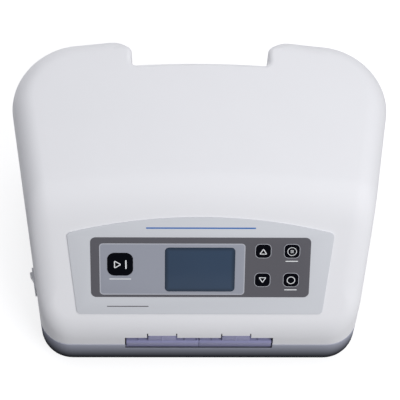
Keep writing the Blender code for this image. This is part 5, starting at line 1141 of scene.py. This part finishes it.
def build_base(sizes):
    """The base: a tray with rounded lower edges, a tongue under the cover, and seats for feet and
    screws."""
    plan = body_plan(sizes)
    normals = outward_normals(plan)
    chamfer = sizes.seam_chamfer

    def level(depth, height):
        return [Vector((*point, height)) for point in inset(plan, [depth] * len(plan))]

    outside = [level(chamfer, SEAM_HEIGHT), level(0.0, SEAM_HEIGHT - chamfer)]
    outside += base_rings(plan, normals, 0.0, sizes.edge_steps)
    tongue = COVER_WALL + GAP
    inside = [level(tongue, SEAM_HEIGHT), level(tongue, SEAM_HEIGHT + TONGUE_RISE)]
    inside.append(level(BASE_WALL, SEAM_HEIGHT + TONGUE_RISE))
    inside += base_rings(plan, normals, BASE_WALL, sizes.edge_steps)
    bm = bmesh.new()
    skin(bm, outside[::-1] + inside)
    base = add_piece("base_moulding", bm, "moulded_abs_grey", "housing", ("base_tray",))
    for cut in base_cuts(sizes.gutter):
        carve(base, cut)
    dress(base, "moulded_abs_grey", HOUSING_SHARP)


def build_feet(sizes):
    """Rubber feet with a soft edge and a shallow dish."""
    edge = sizes.foot_edge
    profile = [(share * FOOT_RADIUS, height) for share, height in FOOT_DISH_PROFILE]
    for step in range(FOOT_EDGE_STEPS + 1):
        angle = math.pi / 2 * step / FOOT_EDGE_STEPS
        profile.append((FOOT_RADIUS - edge + edge * math.sin(angle), edge * (1 - math.cos(angle))))
    profile.append((FOOT_RADIUS, FOOT_HEIGHT))
    for corner, place in corner_places(FOOT_PAIRS).items():
        add_piece(f"rubber_foot_{corner}", turned(profile, place), "moulded_nitrile_rubber", "housing",
                  (f"foot_{corner}",))


def build_screws():
    """Case screws with a cross recess."""
    profile = [(share * SCREW_HEAD_RADIUS, SCREW_HEAD_BOTTOM + rise)
               for share, rise in SCREW_HEAD_PROFILE]
    profile += [(SCREW_SHANK_RADIUS, SCREW_HEAD_BOTTOM + SCREW_HEAD_HEIGHT),
                (SCREW_SHANK_RADIUS, SCREW_TOP - SCREW_POINT_LENGTH),
                (SCREW_SHANK_RADIUS * SCREW_POINT_SHARE, SCREW_TOP)]
    length, width, depth = SCREW_RECESS
    for corner, place in corner_places(SCREW_PAIRS).items():
        screw = add_piece(f"screw_{corner}", turned(profile, place, SCREW_SIDES), "zinc_plated_steel",
                          "housing", (f"case_screw_{corner}",))
        for arm in ((length, width, depth), (width, length, depth)):
            carve(screw, block(arm, (*place[:2], SCREW_HEAD_BOTTOM)))
        dress(screw, "zinc_plated_steel")


# Panel


def label_outline():
    """The label: a trapezoid whose top edge is an arch."""
    foot_left, foot_right = (-LABEL_FOOT_HALF_WIDTH, 0.0), (LABEL_FOOT_HALF_WIDTH, 0.0)
    top_right = (LABEL_TOP_HALF_WIDTH, LABEL_SIDE_HEIGHT)
    top_left = (-LABEL_TOP_HALF_WIDTH, LABEL_SIDE_HEIGHT)
    peak = (0.0, LABEL_HEIGHT * 2 - LABEL_SIDE_HEIGHT)
    step = LABEL_CORNER_RADIUS / LABEL_ARC_STEPS
    arcs = [corner_arc(*corners, LABEL_CORNER_RADIUS, step) for corners in (
        (top_left, foot_left, foot_right),
        (foot_left, foot_right, top_right),
        (foot_right, top_right, peak),
        (peak, top_left, foot_left),
    )]
    right, left = arcs[2][-1], arcs[3][0]
    arch = []
    for step in range(1, LABEL_ARCH_STEPS):
        share = step / LABEL_ARCH_STEPS
        lift = (LABEL_HEIGHT - right.y) * 4 * share * (1 - share)
        arch.append(right.lerp(left, share) + Vector((0, lift)))
    return arcs[0] + arcs[1] + arcs[2] + arch + arcs[3]


def field_plate(field, low, high, edge=0.0):
    """A plate over a field of the panel."""
    size, radius, centre = field
    return plate(round_rectangle(size, radius, centre), low, high, edge)


def cut_holes(film, fields):
    """Cut fields of the panel out of a film."""
    tools = join_shapes(*(field_plate(field, -CLEAR, 3 * CLEAR) for field in fields))
    carve(film, placed(tools, panel_frame()))
    dress(film, film.data.materials[0].name)


def key_field(name):
    """The field of the panel that a key needs."""
    x, y, (size, radius) = KEYS[name]
    return (size + KEY_PLAY, size + KEY_PLAY), radius, (x, y)


def add_film(name, material, node, field, edge, holes=()):
    """A film over a field of the panel, with other fields cut out of it."""
    film = add_piece(name, field_plate(field, 0.0, FILM_TOP, edge), material, "housing", (node,),
                     panel_frame())
    if holes:
        cut_holes(film, holes)


def rule_shape(length, width, centre, low, high):
    """A printed rule with round ends."""
    return plate(round_rectangle((length, width), width * RULE_END_SHARE, centre), low, high)


def line_shape(outer, width, low, high):
    """A closed line of a width, whose outside is the given outline."""
    return ring_plate(outer, inset(outer, [width] * len(outer)), low, high)


def build_films(sizes):
    """The label, the dark and the mid grey films, the display's window, and what is printed on them."""
    local = panel_frame()
    label = add_piece("label_film", plate(label_outline(), 0.0, LABEL_TOP, sizes.film_edge),
                      "printed_polyester_light_grey", "housing", ("panel_label",), local)
    cut_holes(label, [FASCIA_FIELD])
    small_keys = [key_field(name) for name in KEYS if name != "start_stop"]
    add_film("fascia_film", "printed_polyester_dark_grey", "panel_fascia", FASCIA_FIELD,
             sizes.film_edge, [INLAY_FIELD, *small_keys])
    add_film("inlay_film", "printed_polyester_mid_grey", "panel_inlay", INLAY_FIELD,
             sizes.film_edge, [WINDOW_FIELD, key_field("start_stop")])
    line = line_shape(round_rectangle(*INLAY_FIELD), sizes.rule_width,
                      FILM_TOP - PRINT_SINK, FILM_TOP + sizes.mark_height / 2)
    add_piece("inlay_line", line, "screen_printed_light_grey_ink", "housing", local=local)
    for name, ink, (length, centre), width in (
        ("upper", "screen_printed_blue_ink", UPPER_RULE,
         UPPER_RULE_WIDTH_SHARE * sizes.rule_width),
        ("lower", "printed_polyester_dark_grey", LOWER_RULE, sizes.rule_width),
    ):
        rule = rule_shape(length, width, centre, LABEL_TOP - PRINT_SINK, LABEL_TOP + sizes.mark_height)
        add_piece(f"label_{name}_rule", rule, ink, "housing", local=local)
    add_film("display_lens", "hard_coated_acrylic_window", "display_window", WINDOW_FIELD,
             sizes.film_edge)


def rounded_triangle(length, width, corner, turn, place=(0.0, 0.0)):
    """A triangle with rounded corners that points along a direction from the middle of its length."""
    corners = []
    for ahead, aside in ((length / 2, 0.0), (-length / 2, width / 2), (-length / 2, -width / 2)):
        corners.append((place[0] + ahead * math.cos(turn) - aside * math.sin(turn),
                        place[1] + ahead * math.sin(turn) + aside * math.cos(turn)))
    points = []
    for index, place in enumerate(corners):
        points += corner_arc(corners[index - 1], place, corners[(index + 1) % 3], corner,
                             corner / MARK_ARC_STEPS)
    return points


def key_mark(name, width, low, high):
    """The printed mark of a key, about the key's middle."""
    if name == "start_stop":
        play = rounded_triangle(*PLAY_TRIANGLE, 0.0, PLAY_PLACE)
        bar = round_rectangle((width * PLAY_BAR_WIDTH_SHARE, PLAY_BAR_HEIGHT),
                              width * PLAY_BAR_END_SHARE, PLAY_BAR_PLACE)
        return join_shapes(line_shape(play, width, low, high), plate(bar, low, high))
    if name in ("up", "down"):
        turn = math.pi / 2 if name == "up" else -math.pi / 2
        return line_shape(rounded_triangle(*ARROW_TRIANGLE, turn), width * ARROW_LINE_SHARE, low, high)
    if name == "select":
        return line_shape(circle(SELECT_RING_RADIUS), width * SELECT_LINE_SHARE, low, high)
    ring = line_shape(circle(MODE_RING_RADIUS), width * MODE_LINE_SHARE, low, high)
    bar_size = (MODE_BAR_LENGTH, width * MODE_BAR_WIDTH_SHARE)
    bars = [plate(round_rectangle(bar_size, width * MODE_BAR_END_SHARE, (0.0, y)), low, high)
            for y in (-MODE_BAR_PITCH, 0.0, MODE_BAR_PITCH)]
    return join_shapes(ring, *bars)


def build_keys(sizes):
    """The rubber keys with soft upper edges, their printed marks and the printed lines round them."""
    film_low, film_high = FILM_TOP - PRINT_SINK, FILM_TOP + sizes.mark_height
    for name, (x, y, (size, radius)) in KEYS.items():
        local = panel_frame() @ Matrix.Translation((x, y, 0.0))
        node = f"{name}_key"
        cap = plate(round_rectangle((size, size), radius), KEY_BOTTOM, KEY_TOP, sizes.key_edge,
                    KEY_EDGE_STEPS)
        flange = size + 2 * KEY_FLANGE
        skirt = plate(round_rectangle((flange, flange), radius), KEY_BOTTOM, -GAP)
        add_piece(f"{name}_key_cap", join_shapes(cap, skirt), "moulded_silicone_rubber_black", node,
                  (node,), local)
        mark = key_mark(name, sizes.mark_width, KEY_TOP - PRINT_SINK, KEY_TOP + sizes.mark_height)
        add_piece(f"{name}_mark", mark, "screen_printed_white_ink", node, local=local)
        if name != "start_stop":
            side = size + 2 * KEY_PLAY + 2 * sizes.rim_width
            outer = round_rectangle((side, side), radius + sizes.rim_width)
            rim = line_shape(outer, sizes.rim_width, film_low, FILM_TOP + sizes.mark_height / 2)
            add_piece(f"{name}_rim", rim, "screen_printed_light_grey_ink", "housing", local=local)
        if name not in ("up", "down"):
            under = (0.0, -size / 2 - KEY_RULE_DROP)
            rule = rule_shape(size * KEY_RULE_SHARE, sizes.rule_width, under, film_low, film_high)
            add_piece(f"{name}_rule", rule, "screen_printed_white_ink", "housing", local=local)


# Sockets, plugs and latches


def build_sockets():
    """The socket housings, each with a mouth and two rows of round air ports behind it."""
    width = PLUG_WIDTH - SOCKET_WALL
    height = LATCH_TOP + SOCKET_WALL - PLUG_BOTTOM
    mouth_size = [side + 2 * SOCKET_CLEARANCE for side in PLUG_BODY_SIZE]
    ports_y = SOCKET_START + PLUG_BODY_DEPTH
    for label, x in (("left", -PLUG_X), ("right", PLUG_X)):
        centre = (x, SOCKET_START + SOCKET_DEPTH / 2, PLUG_BOTTOM + height / 2)
        socket = add_piece(f"socket_block_{label}", block((width, SOCKET_DEPTH, height), centre),
                           "moulded_nylon_black", "housing", (f"hose_socket_{label}",))
        soften(socket, SOCKET_EDGE)
        mouth = round_rectangle(mouth_size, SOCKET_MOUTH_RADIUS, (x, PLUG_MIDDLE))
        carve(socket, along_y(plate(mouth, SOCKET_START - CLEAR, ports_y + SOCKET_CLEARANCE)))
        ports = []
        for column in range(PORT_COLUMNS):
            for row in (-0.5, 0.5):
                place = (x + (column - (PORT_COLUMNS - 1) / 2) * PORT_PITCH_X,
                         PLUG_MIDDLE + row * PORT_PITCH_Z)
                port = circle(PORT_RADIUS, place, PORT_SIDES)
                ports.append(along_y(plate(port, ports_y, ports_y + SOCKET_DEPTH)))
        carve(socket, join_shapes(*ports))
        dress(socket, "moulded_nylon_black", CARVED_SHARP)


def plug_bar(sizes, height, side):
    """The front bar of a plug: an upper face that leans back, a small step, and a lower face that
    leans in towards its foot. The inner end almost meets the other plug."""
    half, step, face, lean = height / 2, sizes.plug_step, PLUG_FACE_DEPTH, sizes.plug_lean
    brow = PLUG_BROW_SHARE * half
    outline = ((PLUG_FOOT_LEAN * lean, -half), (face, -half), (face, half), (lean, half),
               (0.0, brow), (0.0, brow - step / 2), (step, brow - step))
    points = [Vector(point) for point in outline]
    inner, outer = -side * (PLUG_X - PLUG_JOIN / 2), side * PLUG_OUTER_REACH
    return along_x(plate(points, min(inner, outer), max(inner, outer)))


def build_plugs(sizes):
    """The lilac plugs: a front bar with soft edges and ribs on top, and the body behind it."""
    height = PLUG_TOP - PLUG_BOTTOM
    rib_size = (sizes.rib_width, PLUG_RIB_LENGTH, sizes.rib_height)
    rib_y = sizes.plug_lean + PLUG_RIB_SETBACK + PLUG_RIB_LENGTH / 2
    rib_z = height / 2 + sizes.rib_height / 2 - RIB_SINK
    for label, side in (("left", -1), ("right", 1)):
        node = f"hose_plug_{label}"
        local = as_matrix((side * PLUG_X, FRONT_Y, PLUG_MIDDLE))
        plug = add_piece(f"plug_bar_{label}", plug_bar(sizes, height, side),
                         "moulded_polypropylene_lilac", node, (node,), local)
        soften(plug, sizes.plug_edge / 2, angle=30)
        body = plate(round_rectangle(PLUG_BODY_SIZE, PLUG_BODY_CORNER_RADIUS),
                     PLUG_FACE_DEPTH / 2, PLUG_FACE_DEPTH + PLUG_BODY_DEPTH, PLUG_BODY_EDGE)
        carve(plug, placed(along_y(body), local), "UNION")
        for x in (-PLUG_RIB_SPACING, PLUG_RIB_SPACING, -side * (PLUG_X - sizes.rib_width)):
            carve(plug, block(rib_size, (x, rib_y, rib_z), local), "UNION")
        dress(plug, "moulded_polypropylene_lilac", CARVED_SHARP)


def build_latches(sizes):
    """The sprung release tabs on the plugs, each with a rib up its middle."""
    height, half = LATCH_TOP - LATCH_BOTTOM, LATCH_WIDTH / 2
    foot_left, foot_right = (-half, 0.0), (half, 0.0)
    top_left, top_right = (-half, height), (half, height)
    outline = [Vector(foot_left), Vector(foot_right)]
    for corners in ((foot_right, top_right, top_left), (top_right, top_left, foot_left)):
        outline += corner_arc(*corners, LATCH_ROUND, LATCH_ROUND / ARC_STEPS)
    for label, x in (("left", -PLUG_X), ("right", PLUG_X)):
        node = f"latch_tab_{label}"
        local = as_matrix((x, FRONT_Y + LATCH_INSET + LATCH_THICKNESS / 2, LATCH_BOTTOM))
        tab = along_y(plate(outline, -LATCH_THICKNESS / 2, LATCH_THICKNESS / 2))
        latch = add_piece(f"latch_{label}", tab, "moulded_polypropylene_lilac", node, (node,),
                          local)
        soften(latch, LATCH_EDGE, segments=2, angle=60)
        rib_y = LATCH_RIB_SINK_SHARE * sizes.rib_width - LATCH_THICKNESS / 2
        rib = turned(((sizes.rib_width, 0.0), (sizes.rib_width, height - LATCH_RIB_STOP)),
                     (0.0, rib_y, 0.0), LATCH_RIB_SIDES)
        carve(latch, placed(rib, local), "UNION")
        dress(latch, "moulded_polypropylene_lilac", CARVED_SHARP)


# Switch and inlet


def rocker_face_y(x):
    """Depth of the rocker's dished face at a distance from its middle."""
    return ROCKER_DIP_Y + (ROCKER_TIP_Y - ROCKER_DIP_Y) * abs(x / ROCKER_HALF_LENGTH) ** ROCKER_DISH_POWER


def build_bezel(sizes, local):
    """The frame of the mains switch, with a soft rim."""
    front = GAP + ROCKER_BEZEL_PROUD
    rim = plate(round_rectangle(ROCKER_BEZEL, ROCKER_BEZEL_RADIUS), -ROCKER_BEZEL_ROOT, front,
                sizes.switch_edge)
    bezel = add_piece("switch_rim", facing_front(rim), "moulded_abs_mid_grey", "housing",
                      ("switch_bezel",), local)
    width, height = (side - ROCKER_RIM for side in ROCKER_BEZEL)
    body = block((width, ROCKER_BODY_DEPTH, height), (0.0, ROCKER_BODY_DEPTH / 2, 0.0), local)
    carve(bezel, body, "UNION")
    cavity = round_rectangle([side - 2 * ROCKER_RIM for side in ROCKER_BEZEL], ROCKER_CAVITY_RADIUS)
    carve(bezel, placed(along_y(plate(cavity, -front - CLEAR, ROCKER_CAVITY_DEPTH)), local))
    dress(bezel, "moulded_abs_mid_grey", CARVED_SHARP)


def build_rocker(sizes, local):
    """The dished rocker with plain on and off marks that follow its face."""
    outline = []
    for step in range(ROCKER_DISH_STEPS + 1):
        x = (2 * step / ROCKER_DISH_STEPS - 1) * ROCKER_HALF_LENGTH
        outline.append(Vector((x, rocker_face_y(x))))
    outline += [Vector(point) for point in ROCKER_BACK]
    rocker = add_piece("rocker_cap", plate(outline, -ROCKER_HALF_HEIGHT, ROCKER_HALF_HEIGHT),
                       "moulded_abs_mid_grey", "switch_rocker", ("switch_rocker",),
                       local)
    soften(rocker, ROCKER_EDGE, segments=2, angle=50)
    lean = ROCKER_MARK_LEAN * math.atan2(ROCKER_TIP_Y - ROCKER_DIP_Y, ROCKER_HALF_LENGTH)
    low, high = -ROCKER_MARK_SINK, ROCKER_MARK_PROUD
    width = sizes.mark_width * ROCKER_MARK_WIDTH_SHARE
    bar = plate(round_rectangle((width, ON_MARK_LENGTH), width * ON_MARK_END_SHARE), low, high)
    ring = line_shape(circle(OFF_MARK_RADIUS, sides=32), width, low, high)
    for name, side, mark in (("on", -1, bar), ("off", 1, ring)):
        x = side * ROCKER_HALF_LENGTH * ROCKER_MARK_SHARE
        lay = local @ as_matrix((x, rocker_face_y(x), 0.0), (math.pi / 2, 0.0, side * lean))
        add_piece(f"rocker_{name}_mark", mark, "screen_printed_white_ink", "switch_rocker", local=lay)


def build_inlet(sizes):
    """The mains inlet: a flange with soft edges, a keyed mouth and three plated pins."""
    local = rear_wall_frame(INLET_X, INLET_HEIGHT)
    front = GAP + INLET_FLANGE_THICKNESS
    flange = round_rectangle([side + 2 * INLET_FLANGE for side in INLET_BODY], INLET_FLANGE_RADIUS)
    rim = plate(flange, -INLET_FLANGE_ROOT, front, sizes.switch_edge)
    inlet = add_piece("inlet_moulding", facing_front(rim), "moulded_nylon_black", "housing",
                      ("mains_inlet",), local)
    width, height = INLET_BODY
    body = block((width, INLET_BODY_DEPTH, height), (0.0, INLET_BODY_DEPTH / 2, 0.0), local)
    carve(inlet, body, "UNION")
    x, z, chamfer = INLET_CAVITY[0] / 2, INLET_CAVITY[1] / 2, INLET_CAVITY_CHAMFER
    corners = ((-x, -z), (x, -z), (x, z - chamfer), (x - chamfer, z), (chamfer - x, z), (-x, z - chamfer))
    outline = []
    for index, corner in enumerate(corners):
        outline += corner_arc(corners[index - 1], corner, corners[(index + 1) % len(corners)],
                              INLET_CAVITY_RADIUS, INLET_CAVITY_ARC_STEP)
    floor_y = INLET_CAVITY_DEPTH - front
    carve(inlet, placed(along_y(plate(outline, -front - CLEAR, floor_y)), local))
    dress(inlet, "moulded_nylon_black", CARVED_SHARP)
    width, length, height = PIN_SIZE
    for label, x, z in (("line", -PIN_SPACING, -PIN_RAISE), ("earth", 0.0, PIN_RAISE),
                        ("neutral", PIN_SPACING, -PIN_RAISE)):
        core = block((width, length + PIN_ROOT, height), (x, floor_y + (PIN_ROOT - length) / 2, z))
        pin = add_piece(f"inlet_pin_{label}", core, "zinc_plated_steel", "housing",
                        local=local)
        soften(pin, PIN_EDGE)


# Pieces that keep their solids


KEPT_FINISHES = {
    "panel_carrier": "moulded_nylon_natural",
    "display_module": "moulded_abs_dark_grey",
    "keypad_board": "green_circuit_board",
    "fan_frame": "moulded_nylon_black",
    "fan_rotor": "moulded_abs_dark_grey",
    "pump_plate": "zinc_plated_steel",
    "pump_mount_front_left": "moulded_nitrile_rubber",
    "pump_mount_front_right": "moulded_nitrile_rubber",
    "pump_mount_rear_left": "moulded_nitrile_rubber",
    "pump_mount_rear_right": "moulded_nitrile_rubber",
    "pump_motor": "drawn_aluminium",
    "pump_crankcase": "die_cast_alloy",
    "pump_crank": "zinc_plated_steel",
    "pump_head": "moulded_nylon_black",
    "distributor_body": "moulded_nylon_natural",
    "distributor_gear": "cut_brass",
    "drive_pinion": "zinc_plated_steel",
    "valve_motor": "moulded_abs_dark_grey",
    "supply_hose": "extruded_silicone_tube",
    "tube_bundle_left": "extruded_silicone_tube",
    "tube_bundle_right": "extruded_silicone_tube",
    "supply_board": "green_circuit_board",
    "transformer": "varnished_laminations",
    "supply_capacitor": "heat_shrunk_sleeve",
    "heatsink": "drawn_aluminium",
    "control_board": "green_circuit_board",
    "pressure_sensor": "moulded_nylon_black",
}


def finish_kept_solids():
    """Give each solid that stays in view its own finish."""
    for name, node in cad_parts.items():
        if node.hide_render:
            continue
        if name not in KEPT_FINISHES:
            raise RuntimeError(f"{name} has no finish")
        made = finish(KEPT_FINISHES[name])
        if not node.data.materials:
            node.data.materials.append(made)
        for slot in node.material_slots:
            slot.material = made


# Stage


def seen_share(tree):
    """1 for what the camera sees, also in reflections and through clear pieces, and 0 for the light
    that falls on things."""
    path = add(tree, "ShaderNodeLightPath").outputs
    camera_or_gloss = add(tree, "ShaderNodeMath", {
        0: path["Is Camera Ray"], 1: path["Is Glossy Ray"],
    }, operation="MAXIMUM")
    return add(tree, "ShaderNodeMath", {
        0: camera_or_gloss.outputs[0], 1: path["Is Transmission Ray"],
    }, operation="MAXIMUM").outputs[0]


def build_world():
    """An even white surround that adds soft light from all sides."""
    world = bpy.data.worlds.new("studio_surround")
    bpy.context.scene.world = world
    world.use_nodes = True
    tree = world.node_tree
    tone = add(tree, "ShaderNodeMix", {
        0: seen_share(tree), 6: linear("AEAFB3"), 7: WHITE,
    }, data_type="RGBA")
    tree.links.new(tone.outputs[2], tree.nodes["Background"].inputs["Color"])


def build_floor():
    """A wide pale floor that shows white, keeps a soft shadow and throws back little light. Its paint
    is matt and glows a little less near the object, so that the shadow stays in view."""
    bm = bmesh.new()
    bmesh.ops.create_grid(bm, x_segments=2, y_segments=2, size=FLOOR_HALF_WIDTH)
    floor = new_object("studio_floor", bm)
    material = bpy.data.materials.new("painted_studio_floor")
    material.use_nodes = True
    tree = material.node_tree
    tree.nodes.clear()
    place = add(tree, "ShaderNodeTexCoord").outputs["Object"]
    away = add(tree, "ShaderNodeVectorMath", {0: place}, operation="LENGTH").outputs["Value"]
    (near, near_glow), (far, far_glow) = FLOOR_GLOW_NEAR, FLOOR_GLOW_FAR
    strength = add(tree, "ShaderNodeMapRange", {
        "Value": away, "From Min": near, "From Max": far, "To Min": near_glow, "To Max": far_glow,
    })
    glow = add(tree, "ShaderNodeEmission", {"Color": WHITE, "Strength": strength.outputs["Result"]})
    paint = add(tree, "ShaderNodeBsdfDiffuse", {"Color": linear("ADADAF")})
    dull = add(tree, "ShaderNodeBsdfDiffuse", {"Color": linear("303035")})
    seen = add(tree, "ShaderNodeAddShader", {0: glow.outputs[0], 1: paint.outputs[0]})
    both = add(tree, "ShaderNodeMixShader", {
        0: seen_share(tree), 1: dull.outputs[0], 2: seen.outputs[0],
    })
    add(tree, "ShaderNodeOutputMaterial", {"Surface": both.outputs[0]})
    floor.data.materials.append(material)


def build_lamps():
    """Soft square lamps round the object, which don't show themselves."""
    for name, (place, size, power) in LAMPS.items():
        data = bpy.data.lights.new(name, "AREA")
        data.shape = "SQUARE"
        data.size = size
        data.energy = power
        lamp = bpy.data.objects.new(name, data)
        bpy.context.scene.collection.objects.link(lamp)
        lamp.location = place
        lamp.rotation_euler = (Vector(LAMP_AIM) - Vector(place)).to_track_quat("-Z", "Y").to_euler()
        lamp.visible_camera = False
        lamp.visible_glossy = False


def build_camera():
    """The camera at the photograph's viewing angle."""
    data = bpy.data.cameras.new("photo_camera")
    data.sensor_width = CAMERA_SENSOR
    data.lens = CAMERA_LENS
    data.clip_start = CAMERA_CLIP_START
    camera = bpy.data.objects.new("photo_camera", data)
    bpy.context.scene.collection.objects.link(camera)
    back = Vector(CAMERA_BACK).normalized()
    right = (-back).cross(Vector((0, 0, 1))).normalized()
    up = right.cross(-back)
    across = right * math.cos(CAMERA_ROLL) + up * math.sin(CAMERA_ROLL)
    upward = up * math.cos(CAMERA_ROLL) - right * math.sin(CAMERA_ROLL)
    turn = Matrix((across, upward, back)).transposed().to_4x4()
    camera.matrix_world = Matrix.Translation(Vector(CAMERA_TARGET) + back * CAMERA_DISTANCE) @ turn
    bpy.context.scene.camera = camera


# Operators, one for each piece or group of like pieces


class PUMP_OT_stage(bpy.types.Operator):
    """Camera, lamps, surround and floor"""

    bl_idname = "pump.stage"
    bl_label = "Stage"
    bl_options = {"REGISTER", "UNDO"}

    def execute(self, context):
        build_camera()
        build_world()
        build_floor()
        build_lamps()
        context.scene.view_settings.view_transform = "Standard"
        return {"FINISHED"}


class PUMP_OT_cover(bpy.types.Operator):
    """White cover with its carrying pocket and openings"""

    bl_idname = "pump.cover"
    bl_label = "Cover"
    bl_options = {"REGISTER", "UNDO"}

    def execute(self, context):
        build_cover(context.scene.pump_sizes)
        return {"FINISHED"}


class PUMP_OT_base(bpy.types.Operator):
    """Grey base tray"""

    bl_idname = "pump.base"
    bl_label = "Base"
    bl_options = {"REGISTER", "UNDO"}

    def execute(self, context):
        build_base(context.scene.pump_sizes)
        return {"FINISHED"}


class PUMP_OT_fastenings(bpy.types.Operator):
    """Rubber feet and case screws"""

    bl_idname = "pump.fastenings"
    bl_label = "Feet and screws"
    bl_options = {"REGISTER", "UNDO"}

    def execute(self, context):
        build_feet(context.scene.pump_sizes)
        build_screws()
        return {"FINISHED"}


class PUMP_OT_films(bpy.types.Operator):
    """Label, panel films and display window"""

    bl_idname = "pump.films"
    bl_label = "Label and window"
    bl_options = {"REGISTER", "UNDO"}

    def execute(self, context):
        build_films(context.scene.pump_sizes)
        return {"FINISHED"}


class PUMP_OT_keys(bpy.types.Operator):
    """Rubber keys with their printed marks"""

    bl_idname = "pump.keys"
    bl_label = "Keys"
    bl_options = {"REGISTER", "UNDO"}

    def execute(self, context):
        build_keys(context.scene.pump_sizes)
        return {"FINISHED"}


class PUMP_OT_sockets(bpy.types.Operator):
    """Hose sockets, plugs and release tabs"""

    bl_idname = "pump.sockets"
    bl_label = "Sockets, plugs and tabs"
    bl_options = {"REGISTER", "UNDO"}

    def execute(self, context):
        build_sockets()
        build_plugs(context.scene.pump_sizes)
        build_latches(context.scene.pump_sizes)
        return {"FINISHED"}


class PUMP_OT_switch(bpy.types.Operator):
    """Mains switch on the left wall"""

    bl_idname = "pump.switch"
    bl_label = "Mains switch"
    bl_options = {"REGISTER", "UNDO"}

    def execute(self, context):
        local = rocker_frame()
        pivot = as_matrix((0.0, ROCKER_PIVOT_DEPTH, 0.0), (0.0, 0.0, ROCKER_TILT))
        build_bezel(context.scene.pump_sizes, local)
        build_rocker(context.scene.pump_sizes, local @ pivot)
        return {"FINISHED"}


class PUMP_OT_inlet(bpy.types.Operator):
    """Mains inlet in the rear wall"""

    bl_idname = "pump.inlet"
    bl_label = "Mains inlet"
    bl_options = {"REGISTER", "UNDO"}

    def execute(self, context):
        build_inlet(context.scene.pump_sizes)
        return {"FINISHED"}


class PUMP_OT_inside(bpy.types.Operator):
    """Finishes of the compressor, distributor, boards and fan"""

    bl_idname = "pump.inside"
    bl_label = "Inside pieces"
    bl_options = {"REGISTER", "UNDO"}

    def execute(self, context):
        finish_kept_solids()
        return {"FINISHED"}


STEPS = ("stage", "cover", "base", "fastenings", "films", "keys", "sockets", "switch", "inlet", "inside")


class PUMP_PT_build(bpy.types.Panel):
    """The build steps, sizes and colours in the sidebar"""

    bl_idname = "PUMP_PT_build"
    bl_label = "Compression Pump"
    bl_space_type = "VIEW_3D"
    bl_region_type = "UI"
    bl_category = "Pump"

    def draw(self, context):
        for step in STEPS:
            self.layout.operator(f"pump.{step}")
        for group in (context.scene.pump_sizes, context.scene.pump_colours):
            column = self.layout.column()
            for name in group.__annotations__:
                column.prop(group, name)


CLASSES = (
    PumpSizes,
    PumpColours,
    PUMP_OT_stage,
    PUMP_OT_cover,
    PUMP_OT_base,
    PUMP_OT_fastenings,
    PUMP_OT_films,
    PUMP_OT_keys,
    PUMP_OT_sockets,
    PUMP_OT_switch,
    PUMP_OT_inlet,
    PUMP_OT_inside,
    PUMP_PT_build,
)


def register():
    """Add the classes, and their sizes and colours to the scene."""
    for kind in CLASSES:
        bpy.utils.register_class(kind)
    bpy.types.Scene.pump_sizes = PointerProperty(type=PumpSizes)
    bpy.types.Scene.pump_colours = PointerProperty(type=PumpColours)


def unregister():
    """Take away what register added."""
    del bpy.types.Scene.pump_colours
    del bpy.types.Scene.pump_sizes
    for kind in reversed(CLASSES):
        bpy.utils.unregister_class(kind)


def main():
    """Register the add-on and build every piece in order."""
    register()
    for step in STEPS:
        getattr(bpy.ops.pump, step)()


if __name__ == "__main__":
    main()
